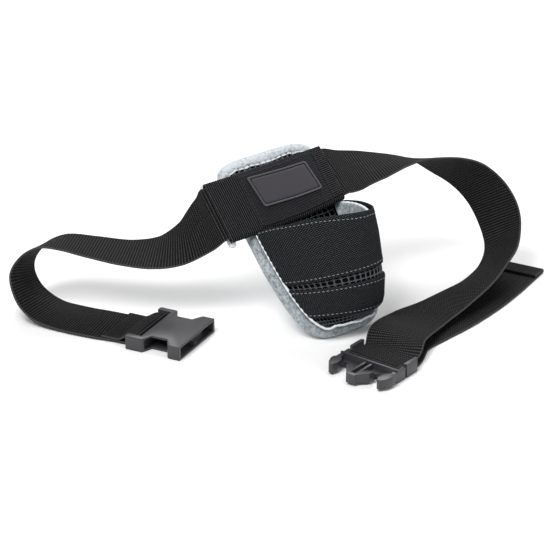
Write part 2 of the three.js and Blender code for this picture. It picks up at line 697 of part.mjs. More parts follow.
function plugGeometry() {
  const half = buckleHalf + PLUG_WALL;
  const sideBack = -PLUG_BAR_SET_BACK - BUCKLE_BAR / 2;
  const wallBack = sideBack - PLUG_GROOVE - PLUG_WALL_LENGTH;
  const low = (BUCKLE_THICKNESS - PRONG_HEIGHT) / 2;
  const high = BUCKLE_THICKNESS - low;
  const rail = boxSolid(0, PLUG_RAIL, -half, half, low, BUCKLE_THICKNESS - 0.4);
  const bar = barSolid(-PLUG_BAR_SET_BACK, buckleMiddle, BUCKLE_BAR, 2 * buckleHalf + 2);
  const wall = [
    [wallBack, buckleHalf],
    [PLUG_RAIL, buckleHalf],
    [PLUG_RAIL, half],
    [sideBack, half],
    [sideBack, half - PLUG_GROOVE_DEPTH],
    [sideBack - PLUG_GROOVE, half - PLUG_GROOVE_DEPTH],
    [sideBack - PLUG_GROOVE, half],
    [wallBack + 1, half],
    [wallBack, half - 1],
  ];
  const walls = [wall, mirrored(wall)].map((points) => plateSolid(points, 0.4, BUCKLE_THICKNESS));
  const armCut = boxSolid(sideBack - PLUG_GROOVE / 2, PLUG_RAIL + 1, -half - 1, half + 1, high, BUCKLE_THICKNESS + 1);
  const tip = PLUG_REACH;
  const outer = half;
  const inner = outer - PRONG_WIDTH;
  const prong = [
    [0, inner],
    [tip * 0.3, inner],
    [tip * 0.38, inner - 2.5],
    [tip * 0.5, inner - 4],
    [tip * 0.78, inner - 4.5],
    [tip, inner - 2.5],
    [tip, inner + 0.5],
    [tip * 0.84, outer - 0.6],
    [tip * 0.58, outer + 1.6],
    [tip * 0.42, outer + 1.6],
    [tip * 0.36, outer],
    [0, outer],
  ];
  const prongs = [prong, mirrored(prong)].map((points) => plateSolid(points, low, high));
  const reach = GUIDE_REACH;
  const guideHalf = GUIDE_WIDTH / 2;
  const guide = [
    [0, guideHalf],
    [reach * 0.6, guideHalf],
    [reach * 0.42, guideHalf + GUIDE_BARB * 0.7],
    [reach * 0.46, guideHalf + GUIDE_BARB],
    [reach * 0.62, guideHalf + GUIDE_BARB * 0.85],
    [reach * 0.88, guideHalf + 1],
    [reach, guideHalf],
  ];
  const guideOutline = [...guide, ...mirrored(guide)];
  const guideBody = plateSolid(guideOutline, low, high);
  const grooveHalf = GUIDE_GROOVE / 2;
  const groove = boxSolid(PLUG_RAIL, reach - 4, -grooveHalf, grooveHalf, high - 4, high + 1);
  const web = [
    [0, guideHalf],
    [reach * 0.4, guideHalf],
    [reach * 0.34, guideHalf + GUIDE_BARB * 0.33],
    [reach * 0.26, guideHalf + GUIDE_BARB * 0.67],
    [reach * 0.2, guideHalf + GUIDE_BARB + 2],
    [reach * 0.2, inner - 3],
    [reach * 0.27, inner],
    [0, inner],
  ];
  const webs = [web, mirrored(web)].map((points) => plateSolid(points, low, low + PLUG_WEB));
  let body = rail.add(bar);
  for (const piece of walls) {
    body = body.add(piece.subtract(armCut));
  }
  for (const piece of [...prongs, ...webs, guideBody]) {
    body = body.add(piece);
  }
  return fromSolid(body.subtract(groove));
}

const socket = addMesh('buckle_socket', socketGeometry(), plasticGrey, belt);
socket.position.copy(SOCKET_PLACE);
socket.rotation.z = SOCKET_YAW;
socket.updateMatrixWorld(true);

const plug = addMesh('buckle_plug', plugGeometry(), plasticGrey, belt);
plug.position.copy(PLUG_PLACE);
plug.rotation.z = PLUG_YAW;
plug.updateMatrixWorld(true);

// Strap. Each station is a place on its middle line and the way across it.

function station(x, y, z, across, straight = false) {
  return { place: new THREE.Vector3(x, y, z), across: new THREE.Vector3(...across), straight };
}

function routeStations(rows, reach, rise) {
  return rows.map((row) => station(row.x * reach, row.y * reach, row.z * rise, row.across));
}

// Stations in a buckle half's own frame, moved to where it lies
function buckleStations(half, yAcross, rows) {
  const turn = half.quaternion;
  return rows.map(([x, z, straight]) => {
    const place = new THREE.Vector3(x, 0, z).applyMatrix4(half.matrixWorld);
    const across = new THREE.Vector3(0, yAcross, 0).applyQuaternion(turn);
    return { place, across, straight };
  });
}

// Half a turn round a bar at x, from above to below, on its forward side
function wrapRows(x) {
  const rows = [];
  const steps = 6;
  for (let k = 0; k <= steps; k += 1) {
    const angle = (k / steps) * Math.PI;
    const out = wrapRadius * Math.sin(angle);
    rows.push([x + out, buckleMiddle + wrapRadius * Math.cos(angle), true]);
  }
  return rows;
}

const layStrap = STRAP_THICKNESS / 2;
const layFlap = layStrap + STRAP_THICKNESS + GAP;
const socketBar = -SOCKET_LENGTH / 2 + SOCKET_BAR_INSET;
const flapFront = socketBar - SOCKET_STRAP_RUN;

const flapRows = [
  [flapFront - FLAP_LENGTH, layFlap, true],
  [flapFront - FLAP_LENGTH * 0.35, layFlap, true],
  [flapFront + 1, buckleMiddle + wrapRadius * 0.55, false],
];
const underRows = [
  [flapFront, layStrap + 0.6, false],
  [flapFront - FLAP_LENGTH * 0.5, layStrap + 0.4, false],
];

const sleeveStations = [];
for (let k = -1; k <= SLEEVE_STEPS + 1; k += 1) {
  const inside = Math.min(Math.max(k, 0), SLEEVE_STEPS) / SLEEVE_STEPS - 0.5;
  const lead = SLEEVE_LEAD * (Number(k > SLEEVE_STEPS) - Number(k < 0));
  const x = inside * SLEEVE_LENGTH + lead;
  const lower = turned(x, -strapMiddle, -STRAP_WIDTH / 2).applyMatrix4(padFrame.matrixWorld);
  const upper = turned(x, -strapMiddle, STRAP_WIDTH / 2).applyMatrix4(padFrame.matrixWorld);
  const place = lower.clone().lerp(upper, 0.5);
  sleeveStations.push({ place, across: upper.sub(lower).normalize(), straight: true });
}

const plugBack = -PLUG_BAR_SET_BACK - BUCKLE_BAR / 2 - PLUG_GROOVE - PLUG_WALL_LENGTH;
const plugLead = plugBack - PLUG_LEAD;
const plugRows = [
  [plugLead, buckleMiddle + wrapRadius * 0.5, true],
  ...wrapRows(-PLUG_BAR_SET_BACK),
  [plugLead, layStrap, true],
];

// The tail's far edge is on the other side of its heading, so across follows the heading
const tailStations = TAIL_ROUTE.map((row, index) => {
  const before = TAIL_ROUTE[Math.max(index - 1, 0)];
  const after = TAIL_ROUTE[Math.min(index + 1, TAIL_ROUTE.length - 1)];
  const heading = new THREE.Vector3(after.x - before.x, after.y - before.y, 0).normalize();
  const atEnd = index > TAIL_ROUTE.length - 3;
  const across = [-heading.y, heading.x, 0];
  return station(row.x * RIGHT_REACH, row.y * RIGHT_REACH, layStrap, across, atEnd);
});

// The hem folds the tail's end back on top of itself
function hemStations() {
  const end = tailStations.at(-1);
  const before = tailStations.at(-2);
  const heading = end.place.clone().sub(before.place).normalize();
  const radius = (STRAP_THICKNESS + GAP) / 2;
  const stations = [];
  const steps = 4;
  for (let k = 1; k <= steps; k += 1) {
    const angle = (k / steps) * Math.PI;
    const place = end.place.clone().addScaledVector(heading, radius * Math.sin(angle));
    place.z += radius * (1 - Math.cos(angle));
    stations.push({ place, across: end.across.clone(), straight: true });
  }
  const top = stations.at(-1).place.clone().addScaledVector(heading, -HEM_LENGTH);
  stations.push({ place: top, across: end.across.clone(), straight: true });
  return stations;
}

const strapStations = [
  ...buckleStations(socket, 1, flapRows),
  ...buckleStations(socket, 1, wrapRows(socketBar)),
  ...buckleStations(socket, 1, underRows),
  ...routeStations(LEFT_ROUTE, LEFT_REACH, LEFT_RISE),
  ...sleeveStations,
  ...routeStations(RIGHT_ROUTE, RIGHT_REACH, RIGHT_RISE),
  ...buckleStations(plug, -1, plugRows),
  ...tailStations,
  ...hemStations(),
];

// Frames along a smooth line through the stations, close enough together for its bends
function ribbonFrames(stations) {
  const line = new THREE.CatmullRomCurve3(
    stations.map((item) => item.place),
    false,
    'centripetal',
  );
  const lean = new THREE.CatmullRomCurve3(
    stations.map((item) => item.across),
    false,
    'centripetal',
  );
  const last = stations.length - 1;
  const frames = [];
  for (let k = 0; k < last; k += 1) {
    const start = stations[k];
    const end = stations[k + 1];
    const straight = start.straight && end.straight;
    const steps = straight ? 1 : Math.ceil(start.place.distanceTo(end.place) / STRAP_STEP);
    for (let step = 0; step < steps; step += 1) {
      const share = (k + step / steps) / last;
      frames.push({ place: line.getPoint(share), across: lean.getPoint(share) });
    }
  }
  frames.push({ place: stations[last].place, across: stations[last].across });
  return frames.map((frame, index) => {
    const before = frames[Math.max(index - 1, 0)].place;
    const after = frames[Math.min(index + 1, frames.length - 1)].place;
    const along = after.clone().sub(before).normalize();
    const across = frame.across.clone();
    across.addScaledVector(along, -across.dot(along)).normalize();
    return { place: frame.place, across, normal: along.clone().cross(across) };
  });
}

function ribbonGeometry(stations) {
  const frames = ribbonFrames(stations);
  const place = (i, j, side) => {
    const { place: middle, across, normal } = frames[i];
    return middle
      .clone()
      .addScaledVector(across, (j / STRAP_COLUMNS - 0.5) * STRAP_WIDTH)
      .addScaledVector(normal, (side - 0.5) * STRAP_THICKNESS);
  };
  return sheetGeometry(frames.length, STRAP_COLUMNS + 1, place);
}

addMesh('waist_strap', ribbonGeometry(strapStations), webbingBlack, belt);

// The origin is the middle of the belt's box, on the surface it lies on
belt.updateMatrixWorld(true);
const box = new THREE.Box3().setFromObject(belt, true);
const middle = box.getCenter(new THREE.Vector3());
belt.position.set(-middle.x, -middle.y, -box.min.z);

export default belt;
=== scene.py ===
"""A fishing fighting belt, unfastened, with a back pad, a rod pocket and a side-release buckle.

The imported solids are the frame. Each piece here is a finer form of one of them, in the same
place: webbing with ribs, cloth with stitches, real nets, a fleece pad and rounded mouldings.
Lengths are in millimetres until a mesh is made, and the strap, pad and pocket are laid out by
the same tables as the solids.
"""

import math

import bmesh
import bpy
import numpy as np
from mathutils import Matrix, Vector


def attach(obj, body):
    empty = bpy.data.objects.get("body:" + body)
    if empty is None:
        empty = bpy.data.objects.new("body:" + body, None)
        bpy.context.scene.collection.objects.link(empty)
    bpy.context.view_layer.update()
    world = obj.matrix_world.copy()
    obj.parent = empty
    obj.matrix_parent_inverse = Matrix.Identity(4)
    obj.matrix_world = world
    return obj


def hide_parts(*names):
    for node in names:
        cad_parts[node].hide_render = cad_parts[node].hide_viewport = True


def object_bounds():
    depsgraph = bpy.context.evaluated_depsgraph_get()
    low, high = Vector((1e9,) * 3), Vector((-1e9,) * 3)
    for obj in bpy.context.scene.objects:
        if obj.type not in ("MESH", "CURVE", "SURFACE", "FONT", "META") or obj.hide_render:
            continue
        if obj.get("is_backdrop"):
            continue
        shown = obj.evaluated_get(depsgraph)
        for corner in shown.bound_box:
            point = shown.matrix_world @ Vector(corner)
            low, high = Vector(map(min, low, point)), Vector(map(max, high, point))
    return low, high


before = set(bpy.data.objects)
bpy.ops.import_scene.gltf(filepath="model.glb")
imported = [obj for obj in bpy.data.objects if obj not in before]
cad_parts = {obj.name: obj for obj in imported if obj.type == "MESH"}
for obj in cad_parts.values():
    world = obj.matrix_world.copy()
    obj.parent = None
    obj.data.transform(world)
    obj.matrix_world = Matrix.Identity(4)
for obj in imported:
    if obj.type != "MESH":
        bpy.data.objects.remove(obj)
cad_low, cad_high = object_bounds()

# The frame's origin seen from the layout's own origin
SHIFT = np.array([-7.397, 91.290, 0.105])
MM = 0.001
BODY = "root"

# Camera: its height, distance and lens, in the layout's own axes
CAMERA_ELEVATION = 24.5
CAMERA_DISTANCE = 2000
CAMERA_LENS = 146.6

# Sizes that the layers share
GAP = 0.3
STRAP_WIDTH = 50
STRAP_THICKNESS = 2
STRAP_STEP = 0.8
STRAP_COLUMNS = 18
RIB_PITCH = 2.4
RIB_DEPTH = 0.16
FLAP_LENGTH = 24
HEM_LENGTH = 17

SLEEVE_LENGTH = 117
SLEEVE_WALL = 1.6
SLEEVE_ROOM = 0.6
SLEEVE_SIDE_ROOM = 1.8
SLEEVE_LEAD = 4
LABEL_LENGTH = 57
LABEL_HEIGHT = 30
LABEL_STAND_OFF = 0.5
LABEL_ALONG = 11.2
LABEL_UP = 4.5
LABEL_CORNER = 2.0
ROLL_DIAMETER = 7
ROLL_OVERHANG = 6
PATCH_START = -27
PATCH_END = 46.5
PATCH_LIFT = 0.42
END_HEM_START = 47.2
END_HEM_LIFT = 0.5
SLEEVE_RIB_PITCH = 1.95
SLEEVE_RIB_DEPTH = 0.2

PAD_HALF_WIDTH = 49.5
PAD_ABOVE = 44
PAD_BELOW = 132
PAD_MIDDLE_SHIFT = 11
PAD_TOP_POWER = 4.2
PAD_BOTTOM_POWER = 4
PAD_WIDEST_AT = 18
PAD_PLACE = np.array([-2, -52.5, 96.303])
PAD_YAW = 32
PAD_LEAN = 46
PAD_ROLL = 4
# Height on the pad towards which the rings inside its outline close
PAD_CENTRE = -40
PAD_FACE_DEPTH = 0.55
PAD_BACK_DEPTH = 10.0
FACE_CLOTH_FRONT = 0.28
FACE_CLOTH_BACK = -0.02
FACE_CLOTH_LAP = 0.2

NET_THICKNESS = 1
NET_STAND_OFF = 0.9
NET_PITCH = 5.6
NET_ROW_PITCH = NET_PITCH * 0.86
NET_INSET = 9
NET_ROWS = 32
POCKET_NET_PITCH = 5.4

POCKET_BULGE = 56
POCKET_HALF_WIDTH = 42
POCKET_SEAM_LIFT = 0.5
POCKET_MOUTH = -29
POCKET_DEPTH = 97
POCKET_MIDDLE_SHIFT = 10
POCKET_TILT = 0.5
POCKET_MOUTH_RISE = 4
BAND_THICKNESS = 1.6
LINING_THICKNESS = 2.2
# How far the rolled pale edge stands out of the pocket's surface, over the ends of the bands
SEAM_ROLL_OUT = 3.0

BUCKLE_THICKNESS = 12.5
BUCKLE_BAR = 6
SOCKET_LENGTH = 52
SOCKET_BAR_INSET = 5.6
SOCKET_STRAP_RUN = 8
PLUG_BAR_SET_BACK = 6
PLUG_BACK = 27
PLUG_LEAD = 3
SOCKET_PLACE = np.array([-88, -132, 0])
SOCKET_YAW = -26.5
PLUG_PLACE = np.array([77.5, -193, 0])
PLUG_YAW = -128
EDGE_BEVEL = 0.55

FLOOR_SIZE = 14
WORLD_STRENGTH = 0.36

LEFT_REACH = 218
LEFT_RISE = 60
RIGHT_REACH = 200
RIGHT_RISE = 100

# Stations of the strap: x and y as shares of its reach, z of its rise, and the way across
LEFT_ROUTE = [
    (-0.68, -0.485, 0.04, (0.43, 0.90, 0.02)),
    (-0.80, -0.43, 0.04, (0.42, 0.91, 0.00)),
    (-0.90, -0.38, 0.09, (0.43, 0.90, -0.06)),
    (-0.965, -0.345, 0.27, (0.38, 0.91, -0.15)),
    (-0.995, -0.315, 0.54, (0.33, 0.89, -0.31)),
    (-0.975, -0.295, 0.76, (0.17, 0.91, -0.38)),
    (-0.92, -0.285, 0.93, (0.09, 0.94, -0.31)),
    (-0.84, -0.285, 0.99, (0.13, 0.98, -0.15)),
    (-0.72, -0.30, 0.94, (0.16, 0.98, -0.06)),
    (-0.58, -0.32, 0.88, (0.12, 0.99, 0.03)),
    (-0.46, -0.335, 0.91, (0.05, 0.98, 0.17)),
    (-0.36, -0.35, 1.08, (-0.06, 0.90, 0.43)),
    (-0.275, -0.375, 1.39, (-0.30, 0.68, 0.67)),
]
RIGHT_ROUTE = [
    (0.33, -0.035, 1.045, (-0.38, 0.83, 0.38)),
    (0.43, 0.01, 1.05, (-0.29, 0.94, 0.14)),
    (0.55, 0.055, 1.06, (-0.13, 0.97, -0.18)),
    (0.655, 0.085, 1.04, (-0.08, 0.90, -0.42)),
    (0.755, 0.115, 0.965, (-0.30, 0.74, -0.60)),
    (0.855, 0.14, 0.855, (-0.50, 0.59, -0.63)),
    (0.94, 0.145, 0.685, (-0.60, 0.53, -0.60)),
    (0.995, 0.12, 0.495, (-0.62, 0.50, -0.61)),
    (1.015, 0.06, 0.32, (-0.57, 0.52, -0.64)),
    (0.99, -0.03, 0.21, (-0.62, 0.50, -0.60)),
    (0.935, -0.12, 0.15, (-0.69, 0.47, -0.54)),
    (0.845, -0.25, 0.11, (-0.77, 0.52, -0.37)),
    (0.725, -0.385, 0.07, (-0.79, 0.58, -0.20)),
    (0.605, -0.54, 0.08, (-0.82, 0.57, -0.02)),
    (0.51, -0.745, 0.14, (-0.85, 0.52, 0.05)),
]
TAIL_ROUTE = [
    (0.53, -0.70),
    (0.63, -0.58),
    (0.74, -0.46),
    (0.87, -0.29),
    (0.99, -0.10),
    (1.09, 0.08),
]

# Pocket's section from the left seam to the right seam: across and out as shares
POCKET_SECTION = [
    (0.00, 0.00),
    (0.12, 0.33),
    (0.29, 0.62),
    (0.53, 0.89),
    (0.75, 1.00),
    (0.93, 0.93),
    (1.03, 0.70),
    (1.06, 0.42),
    (1.04, 0.18),
    (1.00, 0.00),
]
# Pocket's levels from bottom to mouth: height, bulge, left and right as shares
POCKET_LEVELS = [
    (0.00, 0.06, 0.45, 0.40),
    (0.14, 0.38, 0.68, 0.62),
    (0.40, 0.64, 0.92, 0.78),
    (0.52, 0.70, 0.96, 0.82),
    (0.76, 0.86, 1.02, 0.92),
    (1.00, 1.00, 1.04, 0.98),
]

# Turn of the sleeve towards its right end: along, turn in degrees, up, out, slant
SLEEVE_TURN = [
    (-1.25, 0, 0, 0, 0),
    (-0.25, 0, 0, 0, 0),
    (0.25, 2, 0.5, 0.8, 0.02),
    (0.50, 4.5, 1.2, 1.9, 0.05),
    (1.00, 10, 2.6, 4.5, 0.12),
    (1.25, 13, 3.4, 5.8, 0.14),
]


# Small vector tools


def unit(v):
    v = np.asarray(v, float)
    return v / np.maximum(np.linalg.norm(v, axis=-1, keepdims=True), 1e-12)


def rotation(axis, degrees):
    return np.array(Matrix.Rotation(math.radians(degrees), 3, axis))


def catmull(points, knot, share):
    """A centripetal Catmull-Rom line through points, at share of the way from knot to the next."""
    last = len(points) - 1
    p1, p2 = points[knot], points[knot + 1]
    p0 = points[knot - 1] if knot > 0 else 2 * p1 - p2
    p3 = points[knot + 2] if knot + 2 <= last else 2 * p2 - p1
    pairs = ((p0, p1), (p1, p2), (p2, p3))
    t0, t1, t2 = (max(np.linalg.norm(b - a) ** 0.5, 1e-4) for a, b in pairs)
    m1 = ((p1 - p0) / t0 - (p2 - p0) / (t0 + t1) + (p2 - p1) / t1) * t1
    m2 = ((p2 - p1) / t1 - (p3 - p1) / (t1 + t2) + (p3 - p2) / t2) * t1
    s = share
    return (
        p1
        + m1 * s
        + (3 * (p2 - p1) - 2 * m1 - m2) * s * s
        + (2 * (p1 - p2) + m1 + m2) * s**3
    )


def smooth_rows(rows, column, count):
    """A column of a table, read at count even places by the same smooth line."""
    points = [np.array([index, row[column]], float) for index, row in enumerate(rows)]
    values = []
    for place in np.linspace(0, len(rows) - 1, count):
        knot = min(int(place), len(rows) - 2)
        values.append(catmull(points, knot, place - knot)[1])
    return np.array(values)


# Mesh makers. A grid is an array of points, rows by columns.


def make_object(name, points, faces, materials, map_uv=None, face_slots=None, node=None):
    """A mesh piece on the belt's body. map_uv is one (u, v) for each vertex, in millimetres."""
    mesh = bpy.data.meshes.new(name)
    mesh.from_pydata((np.asarray(points) + SHIFT) * MM, [], faces)
    for item in materials:
        mesh.materials.append(item)
    if map_uv is not None:
        layer = mesh.uv_layers.new(name="cloth")
        corners = np.zeros(len(mesh.loops), int)
        mesh.loops.foreach_get("vertex_index", corners)
        layer.data.foreach_set("uv", np.asarray(map_uv, float)[corners].ravel())
    if face_slots is not None:
        mesh.polygons.foreach_set("material_index", np.asarray(face_slots, int))
    mesh.polygons.foreach_set("use_smooth", [True] * len(mesh.polygons))
    mesh.validate()
    shape = bmesh.new()
    shape.from_mesh(mesh)
    bmesh.ops.recalc_face_normals(shape, faces=shape.faces)
    shape.to_mesh(mesh)
    shape.free()
    mesh.update()
    piece = bpy.data.objects.new(name, mesh)
    bpy.context.collection.objects.link(piece)
    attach(piece, BODY)
    if node:
        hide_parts(node)
    return piece


def grid_faces(rows, columns, start=0, wrap=False):
    """Quads of a grid whose vertices are numbered row by row."""
    across = columns if wrap else columns - 1
    faces = []
    for j in range(rows - 1):
        for i in range(across):
            right = (i + 1) % columns
            a, b = start + j * columns, start + (j + 1) * columns
            faces.append((a + i, a + right, b + right, b + i))
    return faces


def tube_mesh(rings):
    """Points and faces of a closed tube through rings of points, with flat ends."""
    rows, count = len(rings), len(rings[0])
    faces = grid_faces(rows, count, wrap=True)
    faces.append(tuple(range(count))[::-1])
    faces.append(tuple((rows - 1) * count + k for k in range(count)))
    return np.concatenate(rings), faces


def shell_mesh(upper, lower):
    """Points and faces of a closed sheet between two grids."""
    rows, columns = upper.shape[:2]
    half = rows * columns
    faces = grid_faces(rows, columns)
    faces += [tuple(reversed(face)) for face in grid_faces(rows, columns, half)]
    edge = [(0, i) for i in range(columns)]
    edge += [(j, columns - 1) for j in range(1, rows)]
    edge += [(rows - 1, i) for i in range(columns - 2, -1, -1)]
    edge += [(j, 0) for j in range(rows - 2, 0, -1)]
    ids = [j * columns + i for j, i in edge]
    for a, b in zip(ids, ids[1:] + ids[:1]):
        faces.append((b, a, a + half, b + half))
    return np.concatenate([upper.reshape(-1, 3), lower.reshape(-1, 3)]), faces


# Materials


class Look:
    """A Principled material with the few node patterns that cloth and plastic need here."""

    def __init__(self, name, roughness, sheen=0.0, specular=0.5):
        self.material = bpy.data.materials.new(name)
        self.material.use_nodes = True
        self.tree = self.material.node_tree
        self.shader = self.tree.nodes["Principled BSDF"]
        self.shader.inputs["Roughness"].default_value = roughness
        self.shader.inputs["Sheen Weight"].default_value = sheen
        self.shader.inputs["Specular IOR Level"].default_value = specular

    def add(self, kind, **settings):
        node = self.tree.nodes.new(kind)
        for key, value in settings.items():
            setattr(node, key, value)
        return node

    def feed(self, node, key, value):
        if hasattr(value, "is_linked"):
            self.tree.links.new(value, node.inputs[key])
        else:
            node.inputs[key].default_value = value

    def maths(self, operation, a, b=0.0):
        node = self.add("ShaderNodeMath", operation=operation)
        self.feed(node, 0, a)
        self.feed(node, 1, b)
        return node.outputs[0]

    def times(self, a, b):
        return self.maths("MULTIPLY", a, b)

    def plus(self, a, b):
        return self.maths("ADD", a, b)

    def minus(self, a, b):
        return self.maths("SUBTRACT", a, b)

    def cloth(self):
        """u and v on the cloth, in millimetres."""
        split = self.add("ShaderNodeSeparateXYZ")
        self.feed(split, 0, self.add("ShaderNodeUVMap", uv_map="cloth").outputs[0])
        return split.outputs[0], split.outputs[1]

    def wave(self, place, pitch):
        """0 to 1 and back once in each pitch."""
        turn = self.maths("COSINE", self.times(place, 2 * math.pi / pitch))
        return self.plus(self.times(turn, 0.5), 0.5)

    def weave(self, u, v, across, along):
        """Over and under, as a chequer of round crests."""
        first = self.maths("COSINE", self.times(u, math.pi / across))
        second = self.maths("COSINE", self.times(v, math.pi / along))
        return self.plus(self.times(self.times(first, second), 0.5), 0.5)

    def mixed(self, first, first_share, second, second_share):
        """Two patterns added up by their shares."""
        return self.plus(self.times(first, first_share), self.times(second, second_share))

    def noise(self, size, detail=3.0, seed=0.0):
        """Noise in the object's own space. size is in millimetres."""
        spot = self.add("ShaderNodeTexCoord").outputs["Object"]
        node = self.add("ShaderNodeTexNoise", noise_dimensions="4D")
        self.feed(node, "Vector", spot)
        self.feed(node, "W", seed)
        self.feed(node, "Scale", 1 / (size * MM))
        self.feed(node, "Detail", detail)
        return node.outputs[0]

    def colour(self, share, dark, light):
        node = self.add("ShaderNodeMix", data_type="RGBA")
        self.feed(node, 0, share)
        self.feed(node, 6, (*dark, 1))
        self.feed(node, 7, (*light, 1))
        self.tree.links.new(node.outputs[2], self.shader.inputs["Base Color"])

    def rough(self, share, low, high):
        span = self.times(share, high - low)
        self.tree.links.new(self.plus(span, low), self.shader.inputs["Roughness"])

    def relief(self, height, depth, strength=1.0):
        """Bump from a 0 to 1 height that stands for depth millimetres."""
        node = self.add("ShaderNodeBump")
        node.inputs["Strength"].default_value = strength
        node.inputs["Distance"].default_value = depth * MM
        self.feed(node, "Height", height)
        self.tree.links.new(node.outputs[0], self.shader.inputs["Normal"])


def webbing_look(name, dark, light, rib, grain, rib_share=0.5, edge=0.0):
    """Ribs across and threads over and under them, with painted highlight on the crests and painted shade in
    the hollows. edge is where a painted highlight line lies along both rounded edges.
    """
    look = Look(name, 0.62, specular=0.07)
    u, v = look.cloth()
    ribs = look.wave(v, rib)
    threads = look.weave(u, v, grain, rib / 2)
    fibres = look.noise(1.2)
    height = look.mixed(ribs, rib_share, threads, 1 - rib_share)
    # Painted highlight and shade: the colour follows the ribs' height, pale on the crests and near black in
    # the hollows
    sharp = look.maths("POWER", height, 3.2)
    share = look.times(sharp, look.plus(look.times(fibres, 2.4), -0.2))
    # Painted highlight: a paler dashed line along both rounded edges of the webbing
    if edge:
        far = look.minus(look.maths("ABSOLUTE", u), edge - 0.9)
        line = look.times(look.maths("GREATER_THAN", far, 0.0), look.wave(v, rib / 2))
        share = look.plus(share, look.times(line, 0.9))
    look.colour(share, dark, light)
    look.rough(fibres, 0.6, 0.9)
    look.relief(height, 0.5)
    return look.material


def twill_look(name, dark, light):
    """Slanting ridges with finer threads across them, painted pale on their crests and dark between them:
    painted highlight and painted shade.
    """
    look = Look(name, 0.7, specular=0.07)
    u, v = look.cloth()
    slope = look.plus(u, look.times(v, 1.2))
    ridges = look.wave(slope, 2.3)
    threads = look.wave(look.minus(u, v), 1.1)
    height = look.mixed(ridges, 0.75, threads, 0.25)
    sharp = look.maths("POWER", height, 2.6)
    # Painted highlight and shade: the colour follows the ridges' height
    look.colour(look.times(sharp, look.plus(look.times(look.noise(1.0), 1.6), 0.2)), dark, light)
    look.relief(height, 0.4)
    return look.material


# Height in metres where the painted light that makes the pad's top end paler starts, and over which it fades
# in
CAP_START, CAP_FADE = 0.098, 0.012


def fleece_look(name, dark, light, contrast, painted_top_light=0.0):
    """Mottled tufts. The last argument is how much paler the cloth is painted towards the pad's top end:
    painted light from above.
    """
    look = Look(name, 0.95, sheen=0.3, specular=0.1)
    tufts = look.noise(2.4, 5.0)
    clouds = look.noise(9, 2.0, 3.0)
    mottle = look.minus(look.mixed(tufts, 0.75, clouds, 0.35), 0.55)
    share = look.plus(look.times(mottle, contrast), 0.5)
    # Painted light: the cloth is made paler with height over the pad's top end, where the light from above
    # falls
    if painted_top_light:
        split = look.add("ShaderNodeSeparateXYZ")
        look.feed(split, 0, look.add("ShaderNodeTexCoord").outputs["Object"])
        climb = look.maths("DIVIDE", look.minus(split.outputs[2], CAP_START), CAP_FADE)
        near = look.maths("MINIMUM", look.maths("MAXIMUM", climb, 0.0), 1.0)
        share = look.plus(share, look.times(near, painted_top_light))
    node = look.add("ShaderNodeClamp")
    look.feed(node, 0, share)
    look.colour(node.outputs[0], dark, light)
    look.relief(tufts, 1.2)
    return look.material


def plain_look(name, dark, light, size, depth, roughness, sheen=0.0, specular=0.5):
    """A plain surface with a fine grain of size and depth millimetres."""
    look = Look(name, roughness, sheen, specular)
    grain = look.noise(size, 4.0)
    look.colour(grain, dark, light)
    look.rough(grain, roughness - 0.08, roughness + 0.08)
    look.relief(grain, depth, 0.6)
    return look.material


# In the three webbings the light colour is painted highlight on the crests and the dark one painted shade in
# the hollows
STRAP_CLOTH = webbing_look(
    "strap_webbing", (0.0012, 0.0012, 0.0014), (0.085, 0.080, 0.083), RIB_PITCH, 1.0, 0.5, STRAP_WIDTH / 2
)
BAND_CLOTH = webbing_look("band_webbing", (0.0008, 0.0010, 0.0013), (0.080, 0.088, 0.094), 2.1, 1.05, 0.1)
SLEEVE_CLOTH = webbing_look(
    "sleeve_webbing", (0.0008, 0.0008, 0.0011), (0.062, 0.060, 0.068), SLEEVE_RIB_PITCH, 0.9, 0.85
)
# The twill's light colour is painted highlight on its ridges, the dark one painted shade between them
PATCH_CLOTH = twill_look("patch_twill", (0.0008, 0.0008, 0.0011), (0.058, 0.057, 0.063))
# The fleece's last number paints the pad's top end paler: painted light from above
FLEECE = fleece_look("fleece", (0.085, 0.105, 0.118), (0.50, 0.545, 0.57), 2.56, 0.45)
BINDING = fleece_look("fleece_edge", (0.50, 0.55, 0.57), (0.88, 0.93, 0.95), 1.28)
# Each call: dark and light colour, size and depth of the grain, roughness, sheen, specular
BACK_CLOTH = plain_look("backing_cloth", (0.001, 0.001, 0.0012), (0.004, 0.004, 0.005), 1, 0.2, 0.9, 0, 0.06)
NET_CORD_LOOK = plain_look("net_cord", (0.03, 0.032, 0.037), (0.15, 0.157, 0.172), 0.8, 0.15, 0.6, 0.05, 0.3)
RUBBER = plain_look("label_rubber", (0.034, 0.032, 0.038), (0.046, 0.043, 0.05), 0.6, 0.05, 0.6, 0, 0.2)
# The label's rim is painted paler than its field, a painted highlight, and its groove near black, painted
# shade
RUBBER_RIM_HIGHLIGHT = plain_look("label_rim_painted_highlight", (0.04, 0.039, 0.043), (0.06, 0.058, 0.063), 0.6, 0.05, 0.5, 0, 0.3)
RUBBER_GROOVE_SHADE = plain_look("label_groove_painted_shade", (0.006, 0.006, 0.007), (0.01, 0.01, 0.011), 0.6, 0.05, 0.6, 0, 0.1)
PLASTIC = plain_look("moulded_plastic", (0.024, 0.024, 0.028), (0.04, 0.04, 0.047), 0.5, 0.05, 0.4, 0, 0.5)
PALE_THREAD = plain_look("pale_thread", (0.1, 0.105, 0.11), (0.38, 0.395, 0.41), 0.5, 0.1, 0.7, 0.1, 0.3)
DARK_THREAD = plain_look("dark_thread", (0.004, 0.004, 0.005), (0.06, 0.058, 0.063), 0.5, 0.1, 0.7, 0.05, 0.2)

# One stitch: how far along it, its thickness as a share, and how high its middle lies
STITCH_SHAPE = [
    (0.0, 0.25, -0.35),
    (0.18, 0.9, 0.2),
    (0.5, 1.0, 0.35),
    (0.82, 0.9, 0.2),
    (1.0, 0.25, -0.35),
]


